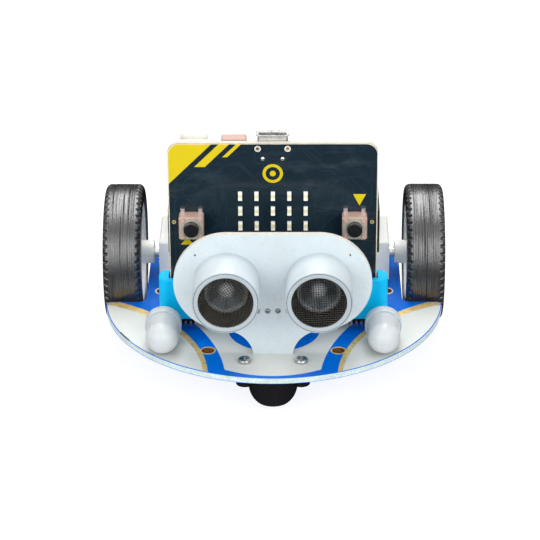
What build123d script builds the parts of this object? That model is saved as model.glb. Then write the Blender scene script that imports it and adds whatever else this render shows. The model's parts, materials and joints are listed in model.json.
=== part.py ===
from build123d import *
import os
from math import cos, pi, sin, sqrt

# Small two-wheeled coding robot. Millimetres. The origin is on the floor under the centre of the round
# main board. +Z is up, the robot faces -Y, and its own left-hand wheel is on +X.

# Main board
BOARD_RADIUS = 43.2
BOARD_TOP = 11.9
BOARD_THICK = 1.6
BOARD_BOTTOM = BOARD_TOP - BOARD_THICK
NOTCH_INNER_X = 33.0
NOTCH_FRONT_Y = -2.5
NOTCH_REAR_Y = 33.5
NOTCH_CORNER_RADIUS = 2.0
WING_TIP_RADIUS = 1.2
MOUNT_HOLE_RADIUS = 1.6
FRONT_HOLE_X, FRONT_HOLE_Y = 16.15, -29.03
REAR_HOLE_X, REAR_HOLE_Y = 28.95, 3.64

# Wheels, measured from the middle of the robot outwards
AXLE_Y = 15.0
WHEEL_RADIUS = 17.8
RIM_RADIUS = 14.0
TYRE_INNER_X, TYRE_OUTER_X = 34.1, 43.9
TYRE_SHOULDER_RADIUS = 1.5
TYRE_BEAD_HEIGHT = 0.6
RIM_WALL = 1.3
RIM_INNER_X, RIM_OUTER_X = 34.5, 43.5
WEB_INNER_X, WEB_OUTER_X = 38.3, 39.9
WEB_HOLES = 6
WEB_HOLE_RADIUS = 2.0
WEB_HOLE_CIRCLE = 8.2
COLLAR_RADIUS = 3.05
COLLAR_INNER_X, COLLAR_OUTER_X = 31.5, 41.0
SHAFT_RADIUS = 1.5
SHAFT_FLAT = 1.1
SHAFT_FLAT_INNER_X = 31.0
SHAFT_INNER_X, SHAFT_OUTER_X = 24.0, 39.5

# Geared motor
GEARBOX_INNER_X, GEARBOX_OUTER_X = 20.3, 29.3
GEARBOX_DEPTH, GEARBOX_HEIGHT = 12.0, 10.0
GEARBOX_PLATE = 0.9
PILLAR_RADIUS, PILLAR_INSET = 0.8, 1.1
MOTOR_INNER_X = 5.3
MOTOR_SHAFT_RADIUS = 0.5
MOTOR_SHAFT_DEPTH = 1.9
MOTOR_END_RADIUS, MOTOR_END_LENGTH = 2.0, 0.8
TERMINAL_Y, TERMINAL_HALF_WIDTH, TERMINAL_HALF_THICK = 3.6, 0.9, 0.15
TERMINAL_LENGTH, TERMINAL_ROOT = 1.8, 0.5
PIN_RADIUS = 0.5
RUNNING_GAP = 0.05
GEAR_MODULE = 0.25
PINION_TEETH = 9
WHEEL_GEAR_TEETH = 17
GEAR_BACKLASH = 0.07
GEAR_ADDENDUM, GEAR_DEDENDUM = 0.9 * GEAR_MODULE, 1.2 * GEAR_MODULE
TOOTH_WIDENING, TOOTH_NARROWING = 0.45 * GEAR_MODULE, 0.4 * GEAR_MODULE
PINION_BORE_RADIUS = 0.1
IDLER_OFFSET = GEAR_MODULE * (PINION_TEETH + WHEEL_GEAR_TEETH) / 2
PINION_INNER_X, PINION_OUTER_X = 21.5, 23.5
IDLER_STEP_X, IDLER_OUTER_X = 23.7, 26.7
OUTPUT_GEAR_INNER_X, OUTPUT_GEAR_OUTER_X = 24.1, 26.3

# Motor bracket: a white moulded sleeve over the gearbox
BRACKET_INNER_X, BRACKET_OUTER_X = 12.3, 29.9
BRACKET_FRONT_Y, BRACKET_REAR_Y = 7.8, 23.6
BRACKET_SKIRT_Z = 13.2
BRACKET_TOP_Z = 24.1
BRACKET_FOOT_INSET = 0.6
BRACKET_EDGE_CHAMFER = 0.5
BRACKET_FIT = 0.02
BRACKET_SHAFT_CLEARANCE = 1.0

# Battery holder on the brackets
HOLDER_HALF_LENGTH = 27.0
HOLDER_FRONT_Y, HOLDER_REAR_Y = 0.7, 38.1
HOLDER_HEIGHT = 12.0
HOLDER_WALL = 1.2
HOLDER_SIDE_HEIGHT = 9.0
HOLDER_END_LENGTH = 6.0
HOLDER_CORNER_RADIUS = 1.0
DIVIDER_HALF_THICK, DIVIDER_HEIGHT = 0.5, 4.0
CELL_RADIUS = 5.2
CELL_LENGTH = 43.3
CELL_EDGE_RADIUS = 0.4
CELL_NUB_RADIUS, CELL_NUB_LENGTH = 1.9, 1.2
CELL_PITCH = 11.7
CELL_COUNT = 3
CELL_LIFT = 0.05
CONTACT_PLATE_HALF_WIDTH, CONTACT_PLATE_HALF_HEIGHT = 4.2, 4.0
PLUS_PLATE_THICK, MINUS_PLATE_THICK, PLATE_GAP = 0.4, 0.3, 0.1
LEAF_SHEET = 0.3
LEAF_FOOT, LEAF_CROWN, LEAF_HALF_WIDTH = 3.9, 0.9, 2.5

# Fasteners
SCREW_RADIUS = 0.8
SCREW_HEAD_RADIUS = 1.5
SCREW_HEAD_HEIGHT = 0.9
SCREW_LENGTH = 5.5
SCREW_Y = 22.3
SCREW_HOLE_GAP = 0.1
SCREW_SHARE = 0.22
RECESS_DEPTH, RECESS_REACH, RECESS_HALF_WIDTH = 0.45, 0.95, 0.2

# Upright control card
CARD_WIDTH = 51.6
CARD_HEIGHT = 42.0
CARD_THICK = 1.6
CARD_FRONT_Y = -15.6
CARD_BACK_Y = CARD_FRONT_Y + CARD_THICK
CARD_TOP_Z = 61.9
CARD_BOTTOM_Z = CARD_TOP_Z - CARD_HEIGHT
CARD_CORNER_RADIUS = 3.0
LIGHT_PITCH = 4.03
LIGHT_TOP_Z = CARD_TOP_Z - 14.0
LIGHT_SIZE = (1.0, 0.6, 2.3)
LIGHT_ROWS = 5
BUTTON_X, BUTTON_Z = 20.1, 40.5
BUTTON_SIZE = 6.1
BUTTON_BASE_DEPTH = 3.1
BUTTON_BASE_CHAMFER = 0.35
BUTTON_COVER = 0.3
BUTTON_COVER_INSET, BUTTON_COVER_CHAMFER = 0.2, 0.5
BUTTON_WELL_GAP, BUTTON_WELL_DEPTH = 0.35, 1.6
PLUNGER_RADIUS = 1.85
PLUNGER_PROUD = 1.4
PLUNGER_TAIL = 1.2
PLUNGER_EDGE_RADIUS = 0.2
STUD_OFFSET, STUD_RADIUS, STUD_PROUD, STUD_ROOT, STUD_GAP = 2.15, 0.56, 0.25, 0.1, 0.02
LEAD_OFFSET, LEAD_HALF_WIDTH, LEAD_DEPTH, LEAD_REACH = 2.2, 0.5, 0.9, 1.2
EDGE_RINGS = (-22.0, -11.5, 0.0, 11.5, 22.0)
EDGE_RING_RADIUS = 1.9
EDGE_RING_HEIGHT = 3.4
CARD_VIAS = ((3.65, CARD_TOP_Z - 1.5, 0.5), (24.46, BUTTON_Z + 0.25, 0.25))
CARD_CHIPS = (((-3.0, 3.0), (40.0, 46.0), 1.0), ((-3.2, 2.2), (49.0, 54.4), 1.0),
              ((-16.5, -14.0), (38.0, 40.5), 0.9), ((-20.5, -18.0), (44.0, 46.5), 0.9))

# Sockets on the back of the card
USB_HALF_WIDTH, USB_DEPTH, USB_LENGTH = 3.75, 2.7, 5.4
USB_TOP_Z = 63.4
USB_SHEET, USB_FLARE, USB_FLARE_SLOPE, USB_MOUTH_LENGTH, USB_CORNER = 0.35, 0.45, 0.4, 0.6, 0.5
USB_FLOOR = 0.6
TONGUE_HALF_WIDTH, TONGUE_Y, TONGUE_DROP = 2.4, (1.1, 1.7), 1.0
RESET_X, RESET_TOP_Z, RESET_DEPTH = (-12.6, -6.4), 62.25, 3.2
RESET_WELL_Y, RESET_BUTTON_Y = 1.5, (1.9, 4.4)
BATTERY_SOCKET_X, BATTERY_SOCKET_TOP_Z = (-23.6, -14.9), 61.8
BATTERY_SOCKET_DEPTH, BATTERY_SOCKET_LENGTH, BATTERY_SOCKET_WALL = 5.6, 6.6, 0.9
BATTERY_SOCKET_CAVITY, BATTERY_SOCKET_GROOVE, BATTERY_SOCKET_GROOVE_INSET = 5.4, 3.0, 1.5

# Edge connector
CONNECTOR_HALF_LENGTH = 28.65
CONNECTOR_FRONT_Y, CONNECTOR_REAR_Y = -18.0, -11.8
CONNECTOR_BOTTOM_Z, CONNECTOR_TOP_Z = 15.0, 25.8
CONNECTOR_END_FLAT, CONNECTOR_EDGE_CHAMFER = 0.6, 0.3
SLOT_HALF_LENGTH = 26.1
SLOT_HALF_DEPTH = 1.75
CONTACT_PITCH = 1.27
CONTACT_COUNT = 40
CONTACT_HALF_WIDTH = 0.25
CONTACT_HALF_THICK = 0.15
CONTACT_TOP_Z = 24.8
CONTACT_GAP = 0.05
CONTACT_BRIDGE_Z = 15.3
CONTACT_TAIL_FRONT_Y, CONTACT_TAIL_HEIGHT = -14.75, 0.65
BASE_HALF_LENGTH = 27.2
BASE_FRONT_Y, BASE_REAR_Y = -14.4, -12.2

# Ultrasonic sensor
SONAR_FRONT_Y = -30.7
SONAR_THICK = 1.6
SONAR_CENTRE_Z = 31.4
SONAR_SPACING = 22.42
SONAR_END_RADIUS = 13.0
SONAR_NECK_HALF_WIDTH = 4.8
SONAR_NECK_FILLET = 7.4
SONAR_PIN_Z = 23.8
SONAR_PIN_COUNT = 4
SONAR_PIN_HOLE_RADIUS = 0.45
SONAR_VIA_X, SONAR_VIA_Z, SONAR_VIA_RADIUS = 18.8, 39.0, 0.25
SONAR_CHIPS = (((-18.5, -13.5), (29.0, 37.0), 1.5), ((13.5, 18.5), (29.0, 37.0), 1.5),
               ((-2.5, 2.5), (36.5, 40.5), 2.2))
CAN_RADIUS = 8.1
CAN_LENGTH = 10.85
CAN_WALL = 0.45
CAN_EDGE_RADIUS = 0.3
CAN_FLOOR = 1.0
LIP_INNER_RADIUS = 6.7
MESH_THICK = 0.3
MESH_RECESS = 0.7
CONE_RECESS = 4.4
CONE_RIM_RADIUS, CONE_BOTTOM_RADIUS, CONE_HEIGHT, CONE_SHEET = 5.3, 1.6, 2.4, 0.35
CONE_BASE_RADIUS, CONE_BASE_THICK = 5.5, 1.6
CONE_STEM_RADIUS = 1.0
PIN_PITCH = 2.54
PIN_HALF_WIDTH = 0.32
PIN_COLLAR_HALF_WIDTH = 1.2
SONAR_PIN_PROUD, SONAR_PIN_REACH, SONAR_COLLAR_DEPTH = 0.5, 3.2, 2.0

# Headlights
LAMP_X, LAMP_Z = 27.3, 16.5
LAMP_RADIUS = 4.05
LAMP_FLANGE_RADIUS = 4.55
LAMP_FLANGE_FRONT_Y = -25.2
LAMP_FLANGE_THICK = 2.6
LAMP_TIP_Y = -34.6
LAMP_LEADS = 4
LAMP_LEAD_PITCH, LAMP_LEAD_HALF_WIDTH, LAMP_LEAD_REACH = 1.27, 0.25, 1.5

# Ball caster
CASTER_Y = -34.9
CASTER_RADIUS = 6.0
CASTER_BALL_RADIUS = 4.75
CASTER_MOUTH_Z = 1.7
CASTER_BOSS_RADIUS = 2.2
CASTER_MOUTH_RADIUS, CASTER_MOUTH_DEPTH = 3.8, 0.6
CASTER_BOSS_BOTTOM_Z = 6.0
CASTER_SCREW_X = 6.93
CASTER_SCREW_RADIUS = 1.0
CASTER_HEAD_RADIUS, CASTER_HEAD_HEIGHT, CASTER_HEAD_EDGE = 1.65, 1.0, 0.4
CASTER_SCREW_END, CASTER_BORE_END = 0.6, 0.4

# Small parts on the main board
BUZZER_PLACE = (-10.0, -5.0)
BUZZER_RADIUS, BUZZER_HEIGHT, BUZZER_EDGE_RADIUS = 4.5, 5.5, 0.5
BUZZER_PORT_RADIUS, BUZZER_PORT_DEPTH = 1.0, 1.5
RECEIVER_PLACE = (22.0, 30.0)
RECEIVER_HALF, RECEIVER_HEIGHT, RECEIVER_LENS_RADIUS = (2.5, 2.0), 5.0, 1.9
HEADER_X, HEADER_Y = 14.0, 39.0
HEADER_BASE_HEIGHT, HEADER_PIN_HEIGHT = 2.5, 8.5
BOARD_CHIPS = (((5.5, 12.5), (-8.5, -1.5), 1.2), ((-4.0, 4.0), (16.0, 21.0), 1.6),
               ((18.5, 22.5), (-9.0, -4.5), 1.7))
UNDER_LIGHT_PLACE, UNDER_LIGHT_HALF, UNDER_LIGHT_HEIGHT = (14.0, 28.5), 2.5, 1.6
SENSOR_PLACE, SENSOR_HALF, SENSOR_HEIGHT = (13.0, -34.9), (1.7, 1.4), 1.8
SENSOR_EYE_OFFSET, SENSOR_EYE_RADIUS, SENSOR_EYE_DEPTH = 0.8, 0.6, 0.6
SWITCH_REAR_Y = 41.4
SWITCH_HALF_LENGTH, SWITCH_DEPTH, SWITCH_HEIGHT = 4.3, 3.6, 3.6
SWITCH_SLOT_DEPTH = 2.6
SLIDER_MIDDLE_HEIGHT, SLIDER_HALF_HEIGHT, SLIDER_GAP, SLIDER_PROUD = 2.0, 0.75, 0.1, 1.5
SLIDER_HALF_WIDTH = 1.0
SLIDER_TRAVEL = 2.0

NODES = {}


# Shape helpers

def block(x, y, z):
    """A box between its low and high value on each axis."""
    size = [high - low for low, high in (x, y, z)]
    centre = [(high + low) / 2 for low, high in (x, y, z)]
    return Pos(*centre) * Box(*size)


def post(x, y, half, z):
    """An upright bar centred on a place. half is its half width, or one half width for each of X and Y."""
    half_x, half_y = half if isinstance(half, tuple) else (half, half)
    return block((x - half_x, x + half_x), (y - half_y, y + half_y), z)


def rod(axis, centre, radius, start, end):
    """A round bar along X, Y or Z. centre is its place on the other two axes, in X, Y, Z order."""
    middle = (start + end) / 2
    bar = Cylinder(radius, abs(end - start))
    if axis == "X":
        return Pos(middle, *centre) * Rot(0, 90, 0) * bar
    if axis == "Y":
        return Pos(centre[0], middle, centre[1]) * Rot(90, 0, 0) * bar
    return Pos(*centre, middle) * bar


def both_sides(shape):
    """The shape and its mirror image across the robot's middle plane."""
    return [shape, mirror(shape, about=Plane.YZ)]


def save(name, *shapes):
    """Keep one node: a single solid, or several separate solids together."""
    solids = [solid for shape in shapes for solid in shape.solids()]
    NODES[name] = solids[0] if len(solids) == 1 else Compound(solids)


def save_pair(name, shape):
    """Keep a part made on +X as name_left and its mirror image as name_right."""
    save(name + "_left", shape)
    save(name + "_right", mirror(shape, about=Plane.YZ))


# Main board and what is soldered to it

def main_board():
    outline = Circle(BOARD_RADIUS)
    notch_length = NOTCH_REAR_Y - NOTCH_FRONT_Y
    notch_width = 2 * (BOARD_RADIUS - NOTCH_INNER_X)
    notch = RectangleRounded(notch_width, notch_length, NOTCH_CORNER_RADIUS)
    notch_y = (NOTCH_REAR_Y + NOTCH_FRONT_Y) / 2
    for side in (-1, 1):
        outline -= Pos(side * (NOTCH_INNER_X + notch_width / 2), notch_y) * notch
    board = Pos(0, 0, BOARD_BOTTOM) * extrude(outline, BOARD_THICK)
    past_notch = NOTCH_INNER_X + 2 * NOTCH_CORNER_RADIUS
    tips = [e for e in board.edges().filter_by(Axis.Z) if abs(e.center().X) > past_notch]
    board = fillet(tips, WING_TIP_RADIUS)
    holes = [(FRONT_HOLE_X, FRONT_HOLE_Y, MOUNT_HOLE_RADIUS), (REAR_HOLE_X, REAR_HOLE_Y, MOUNT_HOLE_RADIUS)]
    holes.append((CASTER_SCREW_X, CASTER_Y, CASTER_SCREW_RADIUS + SCREW_HOLE_GAP))
    holes += [(x, SCREW_Y, SCREW_RADIUS + SCREW_HOLE_GAP) for x in bracket_screw_places()]
    for x, y, radius in holes:
        for side in (-1, 1):
            board -= rod("Z", (side * x, y), radius, BOARD_BOTTOM - 1, BOARD_TOP + 1)
    save("main_board", board)


def contact_places():
    first = -CONTACT_PITCH * (CONTACT_COUNT - 1) / 2
    return [first + CONTACT_PITCH * i for i in range(CONTACT_COUNT)]


def contact_rows():
    """Middle of the front and the rear row of contacts, one on each face of the card."""
    gap = CONTACT_GAP + CONTACT_HALF_THICK
    return [CARD_FRONT_Y - gap, CARD_BACK_Y + gap]


def contact_ways(y, low, high):
    """Clear passages for the contacts between the two values of y."""
    half = CONTACT_HALF_WIDTH + CONTACT_GAP
    deep = (y[0] - CONTACT_HALF_THICK - CONTACT_GAP, y[1] + CONTACT_HALF_THICK + CONTACT_GAP)
    return [block((x - half, x + half), deep, (low, high)) for x in contact_places()]


def edge_connector():
    """The housing, its foot, and contacts that grip both faces of the card and share one tail."""
    depth = CONNECTOR_REAR_Y - CONNECTOR_FRONT_Y
    middle_y = (CONNECTOR_REAR_Y + CONNECTOR_FRONT_Y) / 2
    plan = RectangleRounded(2 * CONNECTOR_HALF_LENGTH, depth, depth / 2 - CONNECTOR_END_FLAT)
    body = Pos(0, middle_y, CONNECTOR_BOTTOM_Z) * extrude(plan, CONNECTOR_TOP_Z - CONNECTOR_BOTTOM_Z)
    body = chamfer(body.faces().sort_by(Axis.Z)[-1].edges(), CONNECTOR_EDGE_CHAMFER)
    card_y = (CARD_FRONT_Y + CARD_BACK_Y) / 2
    slot_y = (card_y - SLOT_HALF_DEPTH, card_y + SLOT_HALF_DEPTH)
    body -= block((-SLOT_HALF_LENGTH, SLOT_HALF_LENGTH), slot_y, (CARD_BOTTOM_Z, CONNECTOR_TOP_Z + 1))
    front, rear = contact_rows()
    bridge_z = (CONTACT_BRIDGE_Z, CONTACT_BRIDGE_Z + 2 * CONTACT_HALF_THICK)
    body -= contact_ways((front, front), bridge_z[0] - CONTACT_GAP, CARD_BOTTOM_Z + 1)
    body -= contact_ways((rear, rear), CONNECTOR_BOTTOM_Z - 1, CARD_BOTTOM_Z + 1)
    body -= contact_ways((front, rear), bridge_z[0] - CONTACT_GAP, bridge_z[1] + CONTACT_GAP)
    save("edge_connector", body)
    length = (-BASE_HALF_LENGTH, BASE_HALF_LENGTH)
    base = block(length, (BASE_FRONT_Y, BASE_REAR_Y), (BOARD_TOP, CONNECTOR_BOTTOM_Z))
    base -= contact_ways((rear, rear), BOARD_TOP - 1, CONNECTOR_BOTTOM_Z + 1)
    tail_top = BOARD_TOP + CONTACT_TAIL_HEIGHT
    base -= contact_ways((BASE_FRONT_Y - 1, rear), BOARD_TOP - 1, tail_top + CONTACT_GAP)
    save("connector_base", base)
    contacts = []
    for x in contact_places():
        half_x, half_y = CONTACT_HALF_WIDTH, CONTACT_HALF_THICK
        blade = post(x, front, (half_x, half_y), (bridge_z[0], CONTACT_TOP_Z))
        blade += post(x, rear, (half_x, half_y), (BOARD_TOP, CONTACT_TOP_Z))
        blade += block((x - half_x, x + half_x), (front, rear), bridge_z)
        blade += block((x - half_x, x + half_x), (CONTACT_TAIL_FRONT_Y, rear), (BOARD_TOP, tail_top))
        contacts.append(blade)
    save("connector_contacts", *contacts)


def board_electronics():
    """Parts soldered to the main board behind the card and under it."""
    top, under = BOARD_TOP, BOARD_BOTTOM
    save("main_chips", *[block(x, y, (top, top + height)) for x, y, height in BOARD_CHIPS])
    buzzer_top = top + BUZZER_HEIGHT
    buzzer = rod("Z", BUZZER_PLACE, BUZZER_RADIUS, top, buzzer_top)
    buzzer = fillet(buzzer.edges().sort_by(Axis.Z)[-1], BUZZER_EDGE_RADIUS)
    buzzer -= rod("Z", BUZZER_PLACE, BUZZER_PORT_RADIUS, buzzer_top - BUZZER_PORT_DEPTH, buzzer_top + 1)
    save("buzzer", buzzer)
    receiver = post(*RECEIVER_PLACE, RECEIVER_HALF, (top, top + RECEIVER_HEIGHT))
    receiver += Pos(*RECEIVER_PLACE, top + RECEIVER_HEIGHT) * Sphere(RECEIVER_LENS_RADIUS)
    save("infrared_receiver", receiver)
    header_pins = []
    for side in (-1, 1):
        for i in range(-1, 2):
            x = side * HEADER_X + i * PIN_PITCH
            base = post(x, HEADER_Y, PIN_COLLAR_HALF_WIDTH, (top, top + HEADER_BASE_HEIGHT))
            header_pins.append(base + post(x, HEADER_Y, PIN_HALF_WIDTH, (top, top + HEADER_PIN_HEIGHT)))
    save("servo_header", *header_pins)
    lamp = post(*UNDER_LIGHT_PLACE, UNDER_LIGHT_HALF, (under - UNDER_LIGHT_HEIGHT, under))
    save("underside_lights", *both_sides(lamp))
    x, y = SENSOR_PLACE
    face = under - SENSOR_HEIGHT
    sensor = post(x, y, SENSOR_HALF, (face, under))
    for eye_x in (x - SENSOR_EYE_OFFSET, x + SENSOR_EYE_OFFSET):
        sensor -= rod("Z", (eye_x, y), SENSOR_EYE_RADIUS, face - 1, face + SENSOR_EYE_DEPTH)
    save("line_sensors", *both_sides(sensor))


def power_switch():
    case_x = (-SWITCH_HALF_LENGTH, SWITCH_HALF_LENGTH)
    case_y = (SWITCH_REAR_Y - SWITCH_DEPTH, SWITCH_REAR_Y)
    case = block(case_x, case_y, (BOARD_TOP, BOARD_TOP + SWITCH_HEIGHT))
    middle_z = BOARD_TOP + SLIDER_MIDDLE_HEIGHT
    half_slot = SLIDER_HALF_WIDTH + SLIDER_TRAVEL + SLIDER_GAP
    half_z = SLIDER_HALF_HEIGHT + SLIDER_GAP
    inside_y = SWITCH_REAR_Y - SWITCH_SLOT_DEPTH
    slot_z = (middle_z - half_z, middle_z + half_z)
    case -= block((-half_slot, half_slot), (inside_y, SWITCH_REAR_Y + 1), slot_z)
    save("power_switch", case)
    # The slider rests at the off end of its travel.
    off = -SLIDER_TRAVEL / 2
    slider_x = (off - SLIDER_HALF_WIDTH, off + SLIDER_HALF_WIDTH)
    slider_y = (inside_y + SLIDER_GAP, SWITCH_REAR_Y + SLIDER_PROUD)
    slider = block(slider_x, slider_y, (middle_z - SLIDER_HALF_HEIGHT, middle_z + SLIDER_HALF_HEIGHT))
    save("power_slider", slider)


# Wheels and geared motors, made for the +X side

def gear(teeth, start_x, end_x, bore):
    """A spur gear on the X axis with one tooth pointing along +Y."""
    pitch_radius = GEAR_MODULE * teeth / 2
    root = pitch_radius - GEAR_DEDENDUM
    tip = pitch_radius + GEAR_ADDENDUM
    pitch_width = pi * GEAR_MODULE / 2 - GEAR_BACKLASH
    half_root = pitch_width / 2 + TOOTH_WIDENING
    half_tip = pitch_width / 2 - TOOTH_NARROWING
    buried = root * 0.8
    corners = [(buried, -half_root), (tip, -half_tip), (tip, half_tip), (buried, half_root)]
    tooth = Polygon(*corners, align=None)
    profile = Circle(root)
    for i in range(teeth):
        profile += Rot(0, 0, 360 * i / teeth) * tooth
    profile -= Circle(bore)
    # Plane of the gear: local x is +Y, local y is +Z, and it grows along +X.
    plane = Plane(origin=(start_x, 0, 0), x_dir=(0, 1, 0), z_dir=(1, 0, 0))
    return extrude(plane * profile, end_x - start_x)


def at_axle(shape, offset_y=0):
    return Pos(0, AXLE_Y + offset_y, WHEEL_RADIUS) * shape


def gearbox():
    half_y, half_z = GEARBOX_DEPTH / 2, GEARBOX_HEIGHT / 2
    inner = (GEARBOX_INNER_X, GEARBOX_INNER_X + GEARBOX_PLATE)
    outer = (GEARBOX_OUTER_X - GEARBOX_PLATE, GEARBOX_OUTER_X)
    frame = block(inner, (-half_y, half_y), (-half_z, half_z))
    frame += block(outer, (-half_y, half_y), (-half_z, half_z))
    for y in (PILLAR_INSET - half_y, half_y - PILLAR_INSET):
        for z in (PILLAR_INSET - half_z, half_z - PILLAR_INSET):
            frame += rod("X", (y, z), PILLAR_RADIUS, inner[0], outer[1])
    frame += rod("X", (IDLER_OFFSET, 0), PIN_RADIUS, inner[0], outer[1])
    frame -= rod("X", (0, 0), MOTOR_SHAFT_RADIUS + RUNNING_GAP, inner[0] - 1, inner[1] + 1)
    frame -= rod("X", (0, 0), SHAFT_RADIUS + RUNNING_GAP, outer[0] - 1, outer[1] + 1)
    save_pair("gearbox", at_axle(frame))


def motor():
    """A round can with two flats, its end boss, a bore for the pinion's shaft, and two terminals."""
    radius, flat = GEARBOX_DEPTH / 2, GEARBOX_HEIGHT / 2
    can = rod("X", (0, 0), radius, MOTOR_INNER_X, GEARBOX_INNER_X)
    can &= block((MOTOR_INNER_X, GEARBOX_INNER_X), (-radius, radius), (-flat, flat))
    can += rod("X", (0, 0), MOTOR_END_RADIUS, MOTOR_INNER_X - MOTOR_END_LENGTH, MOTOR_INNER_X)
    bore = MOTOR_SHAFT_RADIUS + RUNNING_GAP
    can -= rod("X", (0, 0), bore, GEARBOX_INNER_X - MOTOR_SHAFT_DEPTH - RUNNING_GAP, GEARBOX_INNER_X + 1)
    for middle in (-TERMINAL_Y, TERMINAL_Y):
        y = (middle - TERMINAL_HALF_WIDTH, middle + TERMINAL_HALF_WIDTH)
        x = (MOTOR_INNER_X - TERMINAL_LENGTH, MOTOR_INNER_X + TERMINAL_ROOT)
        can += block(x, y, (-TERMINAL_HALF_THICK, TERMINAL_HALF_THICK))
    save_pair("motor", at_axle(can))


def gear_train():
    pinion = gear(PINION_TEETH, PINION_INNER_X, PINION_OUTER_X, PINION_BORE_RADIUS)
    pinion += rod("X", (0, 0), MOTOR_SHAFT_RADIUS, GEARBOX_INNER_X - MOTOR_SHAFT_DEPTH, PINION_OUTER_X)
    save_pair("motor_pinion", at_axle(pinion))
    idler = gear(WHEEL_GEAR_TEETH, PINION_INNER_X, IDLER_STEP_X, PIN_RADIUS + RUNNING_GAP)
    idler += gear(PINION_TEETH, IDLER_STEP_X, IDLER_OUTER_X, PIN_RADIUS + RUNNING_GAP)
    save_pair("idler_gear", at_axle(idler, IDLER_OFFSET))
    output = gear(WHEEL_GEAR_TEETH, OUTPUT_GEAR_INNER_X, OUTPUT_GEAR_OUTER_X, SHAFT_RADIUS)
    save_pair("output_gear", at_axle(output))
    shaft = rod("X", (0, 0), SHAFT_RADIUS, SHAFT_INNER_X, SHAFT_OUTER_X)
    shaft -= above_shaft_flat()
    save_pair("wheel_shaft", at_axle(shaft))


def above_shaft_flat():
    """The space above the flat on the outer end of the wheel's shaft."""
    reach = 2 * SHAFT_RADIUS
    return block((SHAFT_FLAT_INNER_X, SHAFT_OUTER_X + 1), (-reach, reach), (SHAFT_FLAT, reach))


def wheel():
    barrel = rod("X", (0, 0), RIM_RADIUS, RIM_INNER_X, RIM_OUTER_X)
    inside = RIM_RADIUS - RIM_WALL
    barrel -= rod("X", (0, 0), inside, RIM_INNER_X - 1, WEB_INNER_X)
    barrel -= rod("X", (0, 0), inside, WEB_OUTER_X, RIM_OUTER_X + 1)
    for i in range(WEB_HOLES):
        angle = 2 * pi * i / WEB_HOLES
        place = (WEB_HOLE_CIRCLE * cos(angle), WEB_HOLE_CIRCLE * sin(angle))
        barrel -= rod("X", place, WEB_HOLE_RADIUS, WEB_INNER_X - 1, WEB_OUTER_X + 1)
    barrel += rod("X", (0, 0), COLLAR_RADIUS, COLLAR_INNER_X, COLLAR_OUTER_X)
    bore = rod("X", (0, 0), SHAFT_RADIUS, COLLAR_INNER_X - 1, SHAFT_OUTER_X)
    bore -= above_shaft_flat()
    barrel -= bore
    save_pair("wheel_rim", at_axle(barrel))
    tyre = rod("X", (0, 0), WHEEL_RADIUS, TYRE_INNER_X, TYRE_OUTER_X)
    tyre = fillet(tyre.edges().filter_by(GeomType.CIRCLE), TYRE_SHOULDER_RADIUS)
    tyre -= rod("X", (0, 0), RIM_RADIUS, RIM_INNER_X, RIM_OUTER_X)
    tyre -= rod("X", (0, 0), RIM_RADIUS - TYRE_BEAD_HEIGHT, TYRE_INNER_X - 1, TYRE_OUTER_X + 1)
    save_pair("tyre", at_axle(tyre))


def bracket_screw_places():
    """Distances of the two bracket screws from the robot's middle plane."""
    length = BRACKET_OUTER_X - BRACKET_INNER_X
    return [BRACKET_INNER_X + length * SCREW_SHARE, BRACKET_OUTER_X - length * SCREW_SHARE]


def holder_screw_place():
    return (BRACKET_INNER_X + BRACKET_OUTER_X) / 2


def motor_bracket():
    x = (BRACKET_INNER_X, BRACKET_OUTER_X)
    sleeve = block(x, (BRACKET_FRONT_Y, BRACKET_REAR_Y), (BRACKET_SKIRT_Z, BRACKET_TOP_Z))
    inset = BRACKET_FOOT_INSET
    foot_x = (x[0] + inset, x[1] - inset)
    foot_y = (BRACKET_FRONT_Y + inset, BRACKET_REAR_Y - inset)
    foot = block(foot_x, foot_y, (BOARD_TOP, BRACKET_SKIRT_Z))
    front_top = sleeve.edges().filter_by(Axis.X).sort_by(Axis.Z)[-2:].sort_by(Axis.Y)[0]
    side_top = sleeve.edges().filter_by(Axis.Y).sort_by(Axis.Z)[-2:].sort_by(Axis.X)[-1]
    sleeve = chamfer([front_top, side_top], BRACKET_EDGE_CHAMFER)
    sleeve += foot
    half_y = GEARBOX_DEPTH / 2 + BRACKET_FIT
    half_z = GEARBOX_HEIGHT / 2 + BRACKET_FIT
    cavity = block((x[0] - 1, GEARBOX_OUTER_X + BRACKET_FIT), (-half_y, half_y), (-half_z, half_z))
    sleeve -= at_axle(cavity)
    window = SHAFT_RADIUS + BRACKET_SHAFT_CLEARANCE
    sleeve -= at_axle(rod("X", (0, 0), window, GEARBOX_OUTER_X - 1, BRACKET_OUTER_X + 1))
    screw_end = BOARD_BOTTOM + SCREW_LENGTH
    for screw_x in bracket_screw_places():
        sleeve -= rod("Z", (screw_x, SCREW_Y), SCREW_RADIUS, BOARD_TOP - 1, screw_end)
    top_hole = BRACKET_TOP_Z - SCREW_LENGTH + HOLDER_WALL - SCREW_HEAD_HEIGHT
    sleeve -= rod("Z", (holder_screw_place(), SCREW_Y), SCREW_RADIUS, top_hole, BRACKET_TOP_Z + 1)
    save_pair("motor_bracket", sleeve)


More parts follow.
